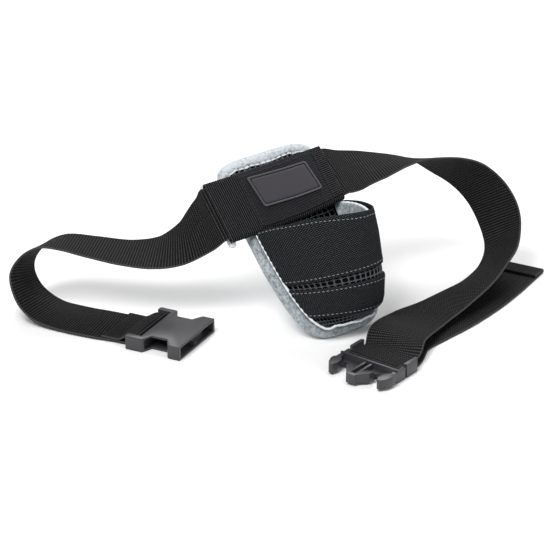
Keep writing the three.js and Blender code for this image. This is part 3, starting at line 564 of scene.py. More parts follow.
def stitches(name, path, normals, thread, length, gap, width):
    """A row of stitches lying on a line, each a short round-ended thread."""
    path, normals = np.asarray(path), unit(normals)
    runs = np.linalg.norm(np.diff(path, axis=0), axis=1)
    far = np.concatenate([[0], np.cumsum(runs)])

    def at(distance, values):
        return np.array([np.interp(distance, far, values[:, k]) for k in range(3)])

    points, faces = [], []
    start = gap / 2
    while start + length < far[-1]:
        rings = []
        for share, size, lift in STITCH_SHAPE:
            middle = at(start + share * length, path)
            normal = unit(at(start + share * length, normals))
            ahead = unit(at(start + length, path) - at(start, path))
            side = unit(np.cross(ahead, normal))
            angles = np.linspace(0, 2 * math.pi, 6, endpoint=False)
            centre = middle + normal * (lift * width / 2)
            rings.append(
                [centre + (side * math.cos(a) + normal * math.sin(a)) * size * width / 2 for a in angles]
            )
        ring_points, ring_faces = tube_mesh(np.array(rings))
        base = len(points) * len(ring_points)
        faces += [tuple(base + k for k in face) for face in ring_faces]
        points.append(ring_points)
        start += length + gap
    make_object(name, np.concatenate(points), faces, [thread])


# Pad frame

PAD_TURN = rotation("Z", PAD_YAW) @ rotation("X", -PAD_LEAN) @ rotation("Y", -PAD_ROLL)
NET_FACE = GAP + NET_THICKNESS
SLEEVE_BACK = NET_FACE + GAP
STRAP_MIDDLE = SLEEVE_BACK + SLEEVE_WALL + SLEEVE_ROOM + STRAP_THICKNESS / 2
SLEEVE_FACE = STRAP_MIDDLE + STRAP_THICKNESS / 2 + SLEEVE_ROOM + SLEEVE_WALL


def from_pad(points):
    """Points of the pad's frame, X along the sleeve and Z up the pad, in the layout's axes."""
    return np.asarray(points) @ PAD_TURN.T + PAD_PLACE


def turned(x, y, z):
    """A point of the sleeve, its label or its strap, with the sleeve's turn at x."""
    share = x / (SLEEVE_LENGTH / 2)
    low, high = next(pair for pair in zip(SLEEVE_TURN, SLEEVE_TURN[1:]) if share < pair[1][0])
    part = (share - low[0]) / (high[0] - low[0])
    turn, up, out, slant = (low[k] + (high[k] - low[k]) * part for k in (1, 2, 3, 4))
    angle = math.radians(turn)
    away = y + STRAP_MIDDLE
    return np.array(
        [
            x + z * slant,
            away * math.cos(angle) + z * math.sin(angle) - STRAP_MIDDLE - out,
            z * math.cos(angle) - away * math.sin(angle) + up,
        ]
    )


# Strap


def buckle_stations(place, yaw, rows, flip):
    """Stations given along a buckle half, in the layout's axes. flip is the side across."""
    turn = rotation("Z", yaw)
    across = turn @ np.array([0, flip, 0])
    return [(place + turn @ np.array([x, 0, z]), across, straight) for x, z, straight in rows]


WRAP_RADIUS = BUCKLE_BAR / 2 + GAP + STRAP_THICKNESS / 2
BUCKLE_MIDDLE = BUCKLE_THICKNESS / 2


def wrap_rows(x):
    """Stations round a buckle's bar, from over it to under it."""
    rows = []
    for angle in np.linspace(0, math.pi, 7):
        up = BUCKLE_MIDDLE + WRAP_RADIUS * math.cos(angle)
        rows.append((x + WRAP_RADIUS * math.sin(angle), up, False))
    return rows


def strap_stations():
    """Place, way across and whether the run is straight, from the sewn end to the hem."""
    lay = STRAP_THICKNESS / 2
    flap = lay + STRAP_THICKNESS + GAP
    bar = -SOCKET_LENGTH / 2 + SOCKET_BAR_INSET
    front = bar - SOCKET_STRAP_RUN
    flap_rows = [
        (front - FLAP_LENGTH, flap, True),
        (front - FLAP_LENGTH * 0.35, flap, True),
        (front + 1, BUCKLE_MIDDLE + WRAP_RADIUS * 0.55, False),
    ]
    under_rows = [(front, lay + 0.6, False), (front - FLAP_LENGTH * 0.5, lay + 0.4, False)]
    stations = buckle_stations(SOCKET_PLACE, SOCKET_YAW, flap_rows, 1)
    stations += buckle_stations(SOCKET_PLACE, SOCKET_YAW, wrap_rows(bar), 1)
    stations += buckle_stations(SOCKET_PLACE, SOCKET_YAW, under_rows, 1)

    def route(rows, reach, rise):
        return [
            (np.array([x * reach, y * reach, z * rise]), np.array(across), False)
            for x, y, z, across in rows
        ]

    stations += route(LEFT_ROUTE, LEFT_REACH, LEFT_RISE)
    steps = 8
    for k in range(-1, steps + 2):
        lead = SLEEVE_LEAD * (int(k > steps) - int(k < 0))
        x = (min(max(k, 0), steps) / steps - 0.5) * SLEEVE_LENGTH + lead
        lower, upper = (
            from_pad(turned(x, -STRAP_MIDDLE, end * STRAP_WIDTH / 2)) for end in (-1, 1)
        )
        stations.append(((lower + upper) / 2, unit(upper - lower), True))
    stations += route(RIGHT_ROUTE, RIGHT_REACH, RIGHT_RISE)
    plug_lead = -PLUG_BACK - PLUG_LEAD
    plug_rows = [
        (plug_lead, BUCKLE_MIDDLE + WRAP_RADIUS * 0.5, True),
        *wrap_rows(-PLUG_BAR_SET_BACK),
        (plug_lead, lay, True),
    ]
    stations += buckle_stations(PLUG_PLACE, PLUG_YAW, plug_rows, -1)
    tail = [np.array([x * RIGHT_REACH, y * RIGHT_REACH, lay]) for x, y in TAIL_ROUTE]
    for index, place in enumerate(tail):
        before, after = tail[max(index - 1, 0)], tail[min(index + 1, len(tail) - 1)]
        heading = unit(after - before)
        straight = index > len(tail) - 3
        stations.append((place, np.array([-heading[1], heading[0], 0]), straight))
    heading = unit(tail[-1] - tail[-2])
    across = stations[-1][1]
    radius = (STRAP_THICKNESS + GAP) / 2
    for angle in np.linspace(0, math.pi, 5)[1:]:
        place = tail[-1] + heading * radius * math.sin(angle)
        place = place + np.array([0, 0, radius * (1 - math.cos(angle))])
        stations.append((place, across, True))
    stations.append((place - heading * HEM_LENGTH, across, True))
    return stations


def strap_frames():
    """Even frames along the strap: place, across, normal and distance from its sewn end."""
    stations = strap_stations()
    places = [item[0] for item in stations]
    acrosses = [item[1] for item in stations]
    line, lean = [], []
    for k in range(len(stations) - 1):
        straight = stations[k][2] and stations[k + 1][2]
        count = max(int(np.linalg.norm(places[k + 1] - places[k]) / 0.4), 2)
        for share in np.linspace(0, 1, count, endpoint=False):
            if straight:
                line.append(places[k] + (places[k + 1] - places[k]) * share)
                lean.append(acrosses[k] + (acrosses[k + 1] - acrosses[k]) * share)
            else:
                line.append(catmull(places, k, share))
                lean.append(catmull(acrosses, k, share))
    line, lean = np.array([*line, places[-1]]), np.array([*lean, acrosses[-1]])
    far = np.concatenate([[0], np.cumsum(np.linalg.norm(np.diff(line, axis=0), axis=1))])
    even = np.linspace(0, far[-1], int(far[-1] / STRAP_STEP))
    place = np.stack([np.interp(even, far, line[:, k]) for k in range(3)], 1)
    across = np.stack([np.interp(even, far, lean[:, k]) for k in range(3)], 1)
    along = np.gradient(place, axis=0)
    # a short run of means keeps the ribs from showing the joins between stations
    spread = np.ones(5) / 5
    padded = np.pad(along, ((2, 2), (0, 0)), mode="edge")
    along = unit(np.stack([np.convolve(padded[:, k], spread, "valid") for k in range(3)], 1))
    across = unit(across - along * (across * along).sum(1, keepdims=True))
    return place, across, unit(np.cross(along, across)), even


def strap_point(frames, distance, share, lift):
    """A point on the strap's surface: share across from -0.5 to 0.5, lift along its normal."""
    place, across, normal, even = frames

    def at(values):
        return np.array([np.interp(distance, even, values[:, k]) for k in range(3)])

    return at(place) + at(across) * share * STRAP_WIDTH + at(normal) * lift, at(normal)


frames = strap_frames()
place, across, normal, even = frames
half_width, half_thick = STRAP_WIDTH / 2, STRAP_THICKNESS / 2
inner = half_width - half_thick
columns = np.linspace(-inner, inner, STRAP_COLUMNS)
round_edge = [math.radians(a) for a in (60, 20, -20, -60)]
section = [(c, half_thick) for c in columns]
section += [(inner + half_thick * math.cos(a), half_thick * math.sin(a)) for a in round_edge]
section += [(c, -half_thick) for c in columns[::-1]]
section += [(-inner - half_thick * math.cos(a), -half_thick * math.sin(a)) for a in round_edge]
section = np.array(section)
rib = 0.5 + 0.5 * np.cos(2 * math.pi * even / RIB_PITCH)
selvedge = np.clip((half_width - np.abs(section[:, 0])) / 2.2, 0, 1)
dent = RIB_DEPTH * (1 - rib[:, None]) * selvedge[None, :]
height = section[None, :, 1] - np.sign(section[None, :, 1]) * dent
rings = (
    place[:, None, :]
    + across[:, None, :] * section[None, :, 0, None]
    + normal[:, None, :] * height[:, :, None]
)
points, faces = tube_mesh(rings)
strap_uv = np.stack(
    [np.broadcast_to(section[:, 0], height.shape).ravel(), np.repeat(even, len(section))], 1
)
strap = make_object("strap", points, faces, [STRAP_CLOTH], strap_uv, node="waist_strap")
STRAP_LENGTH = even[-1]


# Sleeve: one turn of webbing round the strap, with a twill patch and an end hem on its face


room = STRAP_THICKNESS / 2 + SLEEVE_ROOM
sleeve_half = STRAP_WIDTH / 2 + SLEEVE_SIDE_ROOM - room


def sleeve_section(radius, face_steps=16):
    """Loop round the strap: a fold on top, the back, a fold below, the face. y and z."""
    loop = []
    for end in (1, -1):
        for angle in np.linspace(0, math.pi, 9):
            a = angle if end > 0 else angle - math.pi
            loop.append((radius * math.cos(a), end * sleeve_half + radius * math.sin(a)))
        for k in range(1, face_steps):
            loop.append((-end * radius, end * sleeve_half * (1 - 2 * k / face_steps)))
    return loop


def sleeve_grid(radii, xs):
    """Loops of the sleeve at each x, with the loop's radius there."""
    rows = []
    for radius, x in zip(radii, xs):
        rows.append([turned(x, y - STRAP_MIDDLE, z) for y, z in sleeve_section(radius)])
    return from_pad(np.array(rows))


sleeve_xs = np.arange(-SLEEVE_LENGTH / 2, SLEEVE_LENGTH / 2 + 0.01, 0.65)
sleeve_rib = 0.5 + 0.5 * np.cos(2 * math.pi * sleeve_xs / SLEEVE_RIB_PITCH)
outer = sleeve_grid(room + SLEEVE_WALL - SLEEVE_RIB_DEPTH * (1 - sleeve_rib), sleeve_xs)
inner_grid = sleeve_grid([room] * len(sleeve_xs), sleeve_xs)
rows, columns_count = outer.shape[:2]
half_count = rows * columns_count
faces = grid_faces(rows, columns_count, wrap=True)
faces += [tuple(reversed(face)) for face in grid_faces(rows, columns_count, half_count, wrap=True)]
for k in range(columns_count):
    right = (k + 1) % columns_count
    faces.append((right, k, k + half_count, right + half_count))
    low, high = (rows - 1) * columns_count + k, (rows - 1) * columns_count + right
    faces.append((low, high, high + half_count, low + half_count))
round_far = np.concatenate([[0], np.cumsum(np.linalg.norm(np.diff(outer[0], axis=0), axis=1))])
one_uv = np.stack([np.tile(round_far, rows), np.repeat(sleeve_xs, columns_count)], 1)
sleeve = make_object(
    "sleeve",
    np.concatenate([outer.reshape(-1, 3), inner_grid.reshape(-1, 3)]),
    faces,
    [SLEEVE_CLOTH],
    np.concatenate([one_uv, one_uv]),
    node="strap_sleeve",
)


def on_sleeve(x, z, lift):
    """A point over the sleeve's face, lift millimetres out of it."""
    return turned(x, -SLEEVE_FACE - lift, z)


def sleeve_patch(name, x0, x1, thickness, look):
    """A flat piece sewn over the whole height of the sleeve's face, with rounded edges."""
    xs = np.linspace(x0, x1, 40)
    zs = np.linspace(-sleeve_half, sleeve_half, 26)
    rim, base = 0.6, -0.15
    upper, lower, uv = [], [], []
    for x in xs:
        row_up, row_low = [], []
        for z in zs:
            edge = min(x - x0, x1 - x, z + sleeve_half, sleeve_half - z)
            lift = thickness * min(1, max(edge, 0) / rim + 0.35)
            row_up.append(on_sleeve(x, z, lift))
            row_low.append(on_sleeve(x, z, base))
            uv.append((x, z))
        upper.append(row_up)
        lower.append(row_low)
    points, faces = shell_mesh(from_pad(np.array(upper)), from_pad(np.array(lower)))
    return make_object(name, points, faces, [look], uv + uv)


patch = sleeve_patch("sleeve_patch", PATCH_START, PATCH_END, PATCH_LIFT, PATCH_CLOTH)
end_hem = sleeve_patch(
    "sleeve_end_hem", END_HEM_START, SLEEVE_LENGTH / 2 - 0.6, END_HEM_LIFT, SLEEVE_CLOTH
)


# Label: a rounded plate with a groove near its edge


def rounded_outline(half_x, half_z, corner, steps=6):
    outline = []
    for sx, sz, start in ((1, 1, 0), (-1, 1, 90), (-1, -1, 180), (1, -1, 270)):
        for k in range(steps + 1):
            a = math.radians(start + 90 * k / steps)
            x = sx * (half_x - corner) + corner * math.cos(a)
            outline.append((x, sz * (half_z - corner) + corner * math.sin(a)))
    return outline


def dense(outline, step=2.0):
    """The outline with points no further apart than step, starting at the same place."""
    result = []
    for (x0, z0), (x1, z1) in zip(outline, outline[1:] + outline[:1]):
        count = max(1, math.ceil(math.hypot(x1 - x0, z1 - z0) / step))
        for k in range(count):
            result.append((x0 + (x1 - x0) * k / count, z0 + (z1 - z0) * k / count))
    return result


# Inset from the edge and height over the stand-off
LABEL_PROFILE = [
    (0.0, -LABEL_STAND_OFF * 0.2),
    (0.0, 0.9),
    (0.2, 1.2),
    (0.5, 1.3),
    (1.7, 1.3),
    (1.85, 0.95),
    (2.0, 0.9),
    (2.3, 0.9),
    (2.45, 0.95),
    (2.6, 1.15),
    (4.5, 1.15),
    (7.0, 1.15),
    (10.0, 1.15),
    (14.9, 1.15),
]
# Rows of the profile that the rim takes, and those up to the groove's end
RIM_ROWS, GROOVE_ROWS = 4, 9
LABEL_TURN = math.radians(-3.5)
LABEL_SLANT = -0.12
LABEL_STRETCH = 1.035
base_outline = dense(rounded_outline(LABEL_LENGTH / 2, LABEL_HEIGHT / 2, LABEL_CORNER))
label_rings, label_uv = [], []
for inset, lift in LABEL_PROFILE:
    ring = []
    for x, z in base_outline:
        px = x * max(LABEL_LENGTH / 2 - inset, 0.01) / (LABEL_LENGTH / 2)
        pz = z * max(LABEL_HEIGHT / 2 - inset, 0.01) / (LABEL_HEIGHT / 2)
        px *= LABEL_STRETCH
        along = LABEL_ALONG + px * math.cos(LABEL_TURN) + pz * LABEL_SLANT
        up = LABEL_UP + px * math.sin(LABEL_TURN) + pz * math.cos(LABEL_TURN)
        ring.append(on_sleeve(along, up, LABEL_STAND_OFF + lift))
        label_uv.append((px, pz))
    label_rings.append(ring)
points, faces = tube_mesh(from_pad(np.array(label_rings)))
ring_size = len(base_outline)
# Rim faces take the paler rubber (painted highlight), groove faces the near black one (painted shade)
label_slots = []
for face in faces:
    row = min(face) // ring_size
    label_slots.append(1 if row < RIM_ROWS else 2 if row < GROOVE_ROWS else 0)
rubbers = [RUBBER, RUBBER_RIM_HIGHLIGHT, RUBBER_GROOVE_SHADE]
make_object("label", points, faces, rubbers, label_uv, label_slots, "label_plate")

# Pale roll behind the sleeve's left end
roll_half = STRAP_WIDTH / 2 + ROLL_OVERHANG
roll_radius = ROLL_DIAMETER / 2
roll_rings = []
for share in np.linspace(-1, 1, 60):
    z = share * roll_half
    near = max(roll_half - abs(z), 0)
    size = roll_radius * math.sqrt(max(1 - max(1 - near / roll_radius, 0) ** 2, 0.0004))
    size *= 1 + 0.03 * math.sin(z * 1.7)
    ring = []
    for a in np.linspace(0, 2 * math.pi, 24, endpoint=False):
        x = -SLEEVE_LENGTH / 2 + roll_radius + size * math.cos(a)
        y = roll_radius - SLEEVE_BACK + GAP + size * math.sin(a)
        ring.append((x, y, z))
    roll_rings.append(ring)
points, faces = tube_mesh(from_pad(np.array(roll_rings)))
make_object("sleeve_roll_fleece", points, faces, [BINDING], node="sleeve_roll")


# Pad: a soft body with a black face cloth, a pale border and a rolled inner edge


def pad_outline(angle, inset):
    """Across and height of the pad's edge, moved in by inset."""
    above = math.sin(angle) >= 0
    reach = (PAD_ABOVE - PAD_WIDEST_AT if above else PAD_BELOW + PAD_WIDEST_AT) - inset
    power = PAD_TOP_POWER if above else PAD_BOTTOM_POWER

    def bent(value):
        return math.copysign(abs(value) ** (2 / power), value)

    x = PAD_MIDDLE_SHIFT + (PAD_HALF_WIDTH - inset) * bent(math.cos(angle))
    z = PAD_WIDEST_AT + reach * bent(math.sin(angle))
    return x, z


def pad_half(height, end_inset=0, side_inset=0):
    """Half of the pad's width at a height, for an outline moved in at its ends and sides."""
    above = height > PAD_WIDEST_AT
    reach = (PAD_ABOVE - PAD_WIDEST_AT if above else PAD_BELOW + PAD_WIDEST_AT) - end_inset
    power = PAD_TOP_POWER if above else PAD_BOTTOM_POWER
    share = min(abs(height - PAD_WIDEST_AT) / reach, 1)
    return (PAD_HALF_WIDTH - side_inset) * (1 - share**power) ** (1 / power)


def shrunk(point, share):
    """A point of the pad's outline brought towards the pad's centre."""
    x = PAD_MIDDLE_SHIFT + (point[0] - PAD_MIDDLE_SHIFT) * share
    return x, PAD_CENTRE + (point[1] - PAD_CENTRE) * share


def even_angles(count):
    """Angles at which the pad's outline points are evenly apart, and the outline's length."""
    many = np.linspace(0, 2 * math.pi, 4000)
    outline = np.array([pad_outline(a, 0) for a in many])
    far = np.concatenate([[0], np.cumsum(np.linalg.norm(np.diff(outline, axis=0), axis=1))])
    return np.interp(np.linspace(0, far[-1], count, endpoint=False), far, many), far[-1]


PAD_ANGLES, PAD_ROUND = even_angles(260)
# Waves of the border's inner edge: how many, how high and where they start
wave_rows = [(3, 0.5, 0.4), (7, 0.55, 1.9), (13, 0.5, 0.7), (23, 0.35, 2.6)]


def border_width(angle):
    """Width of the pale border, wider over the top and wavy at the bottom."""
    low = max(-math.sin(angle), 0) ** 2
    high = max(math.sin(angle), 0) ** 2
    wave = sum(size * math.sin(count * angle + phase) for count, size, phase in wave_rows)
    return 6.8 + 4.8 * high + wave * (0.2 + 1.2 * low + 0.6 * high)


# Inset as a share of the border's width, and depth
PAD_PROFILE = [
    (1.02, 0.55),
    (0.96, -0.25),
    (0.85, -1.0),
    (0.68, -1.5),
    (0.50, -1.45),
    (0.33, -0.85),
    (0.19, 0.2),
    (0.09, 1.5),
    (0.03, 3.0),
    (0.00, 4.8),
    (0.02, 6.6),
    (0.10, 8.2),
    (0.26, 9.4),
    (0.55, 10.0),
]
pad_rings, pad_uv = [], []
for inset, depth in PAD_PROFILE:
    ring = []
    for index, angle in enumerate(PAD_ANGLES):
        puff = 0.22 * math.sin(17 * angle + 3 * depth) + 0.16 * math.sin(41 * angle + depth)
        x, z = pad_outline(angle, inset * border_width(angle) - 0.2 * puff * (depth > 0))
        ring.append((x, depth + puff * (0.3 < 1 - abs(2 * inset - 1)), z))
        pad_uv.append((PAD_ROUND * index / len(PAD_ANGLES), inset * 9))
    pad_rings.append(ring)
for depth in (PAD_FACE_DEPTH, PAD_BACK_DEPTH):
    front = depth == PAD_FACE_DEPTH
    closing = []
    for share in (0.85, 0.6, 0.3):
        ring = []
        for angle in PAD_ANGLES:
            x, z = shrunk(pad_outline(angle, border_width(angle) * (1.02 if front else 0.55)), share)
            ring.append((x, depth, z))
            pad_uv.append((x, z))
        closing.append(ring)
    pad_rings = closing[::-1] + pad_rings if front else pad_rings + closing
points, faces = tube_mesh(from_pad(np.array(pad_rings)))
pad = make_object("pad", points, faces, [FLEECE], node="back_pad")

# Black face cloth inside the border, over the pad and under the net
face_rings = []
closing = (0.02, 0.3, 0.6, 0.85, 1.0)
face_rows = [(share, FACE_CLOTH_FRONT) for share in closing]
face_rows += [(share, FACE_CLOTH_BACK) for share in closing[::-1]]
for share, depth in face_rows:
    ring = []
    for angle in PAD_ANGLES:
        x, z = shrunk(pad_outline(angle, border_width(angle) - FACE_CLOTH_LAP), share)
        ring.append((x, depth, z))
    face_rings.append(ring)
points, faces = tube_mesh(from_pad(np.array(face_rings)))
make_object("pad_face_cloth", points, faces, [BACK_CLOTH])

# Rolled pale line along the border's inner edge
line_rings = []
for a in np.linspace(0, 2 * math.pi, 10, endpoint=False):
    ring = []
    for angle in PAD_ANGLES:
        thick = 0.75 + 0.12 * math.sin(61 * angle)
        x, z = pad_outline(angle, border_width(angle) + thick * math.cos(a) - 0.3)
        ring.append((x, -0.35 + thick * math.sin(a), z))
    line_rings.append(ring)
grid = from_pad(np.array(line_rings))
count = grid.shape[1]
loop_faces = []
for j in range(len(grid)):
    here, there = j * count, (j + 1) % len(grid) * count
    for i in range(count):
        right = (i + 1) % count
        loop_faces.append((here + i, here + right, there + right, there + i))
make_object("pad_inner_edge", grid.reshape(-1, 3), loop_faces, [BINDING])


# Nets: a sheet of rounded holes between cords, laid over a surface


# Cords' width as a share of a cell, and the corners of the hole in one
NET_CORD = 0.17
NET_CORNERS = 12


def net_piece(name, place, columns, rows, filled, node):
    """place(u, v, out) gives a point at column u, row v, both in cells. filled(u, v) keeps a cell."""
    points, faces = [], []
    for j in range(rows):
        for i in range(columns):
            if not filled(i + 0.5, j + 0.5):
                continue
            base = len(points)
            for k in range(NET_CORNERS):
                a = 2 * math.pi * (k + 0.5) / NET_CORNERS
                square = 0.5 / max(abs(math.cos(a)), abs(math.sin(a)))
                power = (abs(math.cos(a)) ** 4 + abs(math.sin(a)) ** 4) ** -0.25
                hole = 0.5 * (1 - NET_CORD) * power
                crest = (square + hole) / 2
                cord_section = ((square, 0.3), (crest, 1.0), (hole, 0.45), (hole, 0.0), (square, 0.0))
                for radius, out in cord_section:
                    u, v = i + 0.5 + radius * math.cos(a), j + 0.5 + radius * math.sin(a)
                    points.append(place(u, v, out * NET_THICKNESS))
            for k in range(NET_CORNERS):
                here, there = base + k * 5, base + ((k + 1) % NET_CORNERS) * 5
                for ring in range(5):
                    after = (ring + 1) % 5
                    faces.append((here + ring, there + ring, there + after, here + after))
    make_object(name, np.array(points), faces, [NET_CORD_LOOK], node=node)


NET_HALF_WIDTH = PAD_HALF_WIDTH - NET_INSET
NET_COLUMNS = int(2 * NET_HALF_WIDTH / NET_PITCH)


def net_on_pad(u, v, out):
    x = PAD_MIDDLE_SHIFT + (u * NET_PITCH - NET_HALF_WIDTH)
    z = PAD_ABOVE - NET_INSET - v * NET_ROW_PITCH
    stagger = 0.35 * math.sin(u * 1.9 + v) + 0.3 * math.sin(v * 2.3 + 0.7 * u)
    return from_pad((x + 0.4 * stagger, -GAP - out, z + stagger))


def on_pad_face(u, v):
    """Whether a cell of the net lies inside the border."""
    z = PAD_ABOVE - NET_INSET - v * NET_ROW_PITCH
    return abs(u * NET_PITCH - NET_HALF_WIDTH) < pad_half(z, NET_INSET, NET_INSET + 1)


net_piece("pad_net_cords", net_on_pad, NET_COLUMNS, NET_ROWS, on_pad_face, "pad_net")


# Pocket

# The left seam lies this far inside the pad's edge, under the border's rolled edge
SEAM_INSET = 6.8
BAND_SAG = 0.045
POCKET_FOOT = 0.02
SECTION_COUNT = 91
section_across = smooth_rows(POCKET_SECTION, 0, SECTION_COUNT)
section_out = smooth_rows(POCKET_SECTION, 1, SECTION_COUNT)
LEVEL_HEIGHTS = [row[0] for row in POCKET_LEVELS]


def level_value(column, height):
    """A level's value at a height, eased between the levels without overshoot."""
    values = [row[column] for row in POCKET_LEVELS]
    linear = np.interp(height, LEVEL_HEIGHTS, values)
    near = [np.interp(min(max(height + d, 0), 1), LEVEL_HEIGHTS, values) for d in (-0.04, 0.04)]
    return 0.5 * linear + 0.25 * sum(near)


def pocket_surface(share, height):
    """A point of the pocket's wall: share round it from the left seam, height from its foot."""
    place = share * (SECTION_COUNT - 1)
    across_share = np.interp(place, np.arange(SECTION_COUNT), section_across)
    out_share = np.interp(place, np.arange(SECTION_COUNT), section_out)
    seam_below = POCKET_MOUTH - POCKET_DEPTH * (1 - height)
    left = PAD_MIDDLE_SHIFT - POCKET_MIDDLE_SHIFT - pad_half(seam_below) + SEAM_INSET
    right = POCKET_HALF_WIDTH * level_value(3, height)
    out = POCKET_BULGE * level_value(1, height) * out_share
    x = POCKET_MIDDLE_SHIFT + left + (right - left) * across_share
    rise = POCKET_MOUTH_RISE * across_share * height
    seam = POCKET_MOUTH + rise - POCKET_DEPTH * (1 - height)
    depth = out + NET_FACE + LINING_THICKNESS + POCKET_SEAM_LIFT
    return np.array([x, -depth, seam - POCKET_TILT * out])


def pocket_normal(share, height):
    small = 0.01
    ahead, behind = min(share + small, 1), max(share - small, 0)
    along = pocket_surface(ahead, height) - pocket_surface(behind, height)
    up = pocket_surface(share, height + small) - pocket_surface(share, height - small)
    return unit(np.cross(along, up))


def pocket_point(share, height, out):
    return pocket_surface(share, height) + pocket_normal(share, height) * out


# Share round the mouth from the left seam, and the height of the rim there
RIM_LINE = [
    (0.0, 1.02),
    (0.05, 1.045),
    (0.12, 1.05),
    (0.28, 1.045),
    (0.37, 1.015),
    (0.44, 0.995),
    (0.55, 0.979),
    (0.65, 0.985),
    (0.72, 1.0),
    (0.80, 1.02),
    (0.90, 1.038),
    (1.0, 1.038),
]
# How far the rim's stitches lie under it, and how far the lining ends under it
RIM_STITCHES = [
    (0.0, 0.012),
    (0.05, 0.016),
    (0.28, 0.036),
    (0.44, 0.052),
    (0.55, 0.048),
    (0.72, 0.055),
    (1.0, 0.05),
]
LINING_DROPS = [(0.0, 0.05), (0.62, 0.05), (0.74, 0.022), (1.0, 0.018)]


def eased(line, share):
    """A line's value at share, with its corners rounded."""
    places, values = zip(*line)
    steps = (-0.04, -0.02, 0, 0.02, 0.04)
    near = [np.interp(min(max(share + step, 0), 1), places, values) for step in steps]
    return sum(near) / len(near)


def rim_height(share):
    return eased(RIM_LINE, share)


def sagging(ends, share):
    """A height that goes from its left to its right value and sags between them. 1 is the rim."""
    if ends[0] == 1:
        return rim_height(share)
    straight = ends[0] + (ends[1] - ends[0]) * share
    return straight - BAND_SAG * math.sin(math.pi * share)


BAND_INNER = NET_STAND_OFF + NET_THICKNESS + GAP
round_mouth = np.array([pocket_surface(s, 1.0) for s in np.linspace(0, 1, 60)])
POCKET_ROUND = np.linalg.norm(np.diff(round_mouth, axis=0), axis=1).sum()


def band_piece(name, bottom, top, node):
    """A band of webbing round the pocket. bottom and top are heights at the left and right."""
    shares = np.linspace(0, 1, 110)
    ups = np.linspace(0, 1, 44)
    upper, lower, uv = [], [], []
    for up in ups:
        row_up, row_low = [], []
        edge = min(up, 1 - up) * len(ups)
        thin = 0.45 if edge < 0.5 else (0.85 if edge < 1.5 else 1.0)
        for share in shares:
            low, high = sagging(bottom, share), sagging(top, share)
            height = low + (high - low) * up
            middle = BAND_INNER + BAND_THICKNESS / 2
            row_up.append(pocket_point(share, height, middle + thin * BAND_THICKNESS / 2))
            row_low.append(pocket_point(share, height, middle - thin * BAND_THICKNESS / 2))
            uv.append((share * POCKET_ROUND, height * POCKET_DEPTH))
        upper.append(row_up)
        lower.append(row_low)
    points, faces = shell_mesh(from_pad(np.array(upper)), from_pad(np.array(lower)))
    make_object(name, points, faces, [BAND_CLOTH], uv + uv, node=node)


# Heights of the bands' edges at the left and right seams. 1 follows the rim
UPPER_BOTTOM, UPPER_TOP = (0.49, 0.53), (1.0, 1.0)
LOWER_BOTTOM, LOWER_TOP = (0.15, 0.14), (0.44, 0.40)
SEAM_MARGIN = 0.03
band_piece("pocket_upper_band", UPPER_BOTTOM, UPPER_TOP, "pocket_band_upper")
band_piece("pocket_lower_band", LOWER_BOTTOM, LOWER_TOP, "pocket_band_lower")


def lining_top(share):
    return rim_height(share) - eased(LINING_DROPS, share)


# Lining: black outside, where it shows through the nets, and pale fleece inside
shares = np.linspace(0, 1, 100)
heights = np.linspace(0, 1, 50)


def lining_wall(out):
    return np.array(
        [
            [pocket_point(s, POCKET_FOOT + h * (lining_top(s) - POCKET_FOOT), out) for s in shares]
            for h in heights
        ]
    )


outer_wall, inner_wall = lining_wall(0), lining_wall(-LINING_THICKNESS)
points, faces = shell_mesh(from_pad(outer_wall), from_pad(inner_wall))
half_faces = (len(heights) - 1) * (len(shares) - 1)
slots = [1 if k < half_faces else 0 for k in range(len(faces))]
cloths = [FLEECE, BACK_CLOTH]
make_object("pocket_fleece", points, faces, cloths, None, slots, "pocket_lining")


def rolled_edge(name, path, reference, thicknesses):
    """A pale roll along a path of the pad's frame. reference is a way that the path doesn't take."""
    along = unit(np.gradient(path, axis=0))
    side = unit(np.cross(along, np.tile(reference, (len(path), 1))))
    up = np.cross(side, along)
    angles = np.linspace(0, 2 * math.pi, 10, endpoint=False)
    rings = []
    for spot, s, u, thick in zip(path, side, up, thicknesses):
        rings.append([spot + (s * math.cos(a) + u * math.sin(a)) * thick for a in angles])
    points, faces = tube_mesh(from_pad(np.array(rings)))
    make_object(name, points, faces, [BINDING])


# Bright rolled edge along the lining's top
roll_shares = np.linspace(0.02, 0.98, 140)
roll_path = np.array([pocket_point(s, lining_top(s), -LINING_THICKNESS / 2) for s in roll_shares])
roll_thick = 1.15 + 0.12 * np.sin(np.arange(len(roll_path)) * 1.1)
rolled_edge("pocket_fleece_edge", roll_path, [0.0, 0.0, 1.0], roll_thick)


def pocket_net(name, bottom, top, rows, node):
    """A strip of net between two heights, each given at its left and right."""
    columns = int(POCKET_ROUND / POCKET_NET_PITCH)

    def place(u, v, out):
        share = min(max(u / columns, 0), 1)
        low, high = (sagging(ends, share) if ends[0] > 0 else POCKET_FOOT for ends in (bottom, top))
        height = low + (high - low) * v / rows
        return from_pad(pocket_point(share, height, NET_STAND_OFF - 0.3 + out))

    net_piece(name, place, columns, rows, lambda u, v: True, node)


pocket_net("pocket_middle_net", (0.41, 0.37), (0.52, 0.56), 3, "pocket_net_middle")
pocket_net("pocket_bottom_net", (0.0, 0.0), (0.18, 0.17), 4, "pocket_net_bottom")


def band_stitches(name, left, right):
    """Pale stitches along a band, at a height that goes from left to right, or under the rim."""
    path, normals = [], []
    for share in np.linspace(0.01, 0.99, 240):
        if left < 1:
            height = sagging((left, right), share)
        else:
            height = rim_height(share) - eased(RIM_STITCHES, share)
        path.append(pocket_point(share, height, BAND_INNER + BAND_THICKNESS))
        normals.append(pocket_normal(share, height))
    normals = np.array(normals) @ PAD_TURN.T
    stitches(name, from_pad(np.array(path)), normals, PALE_THREAD, 2.3, 1.5, 0.6)


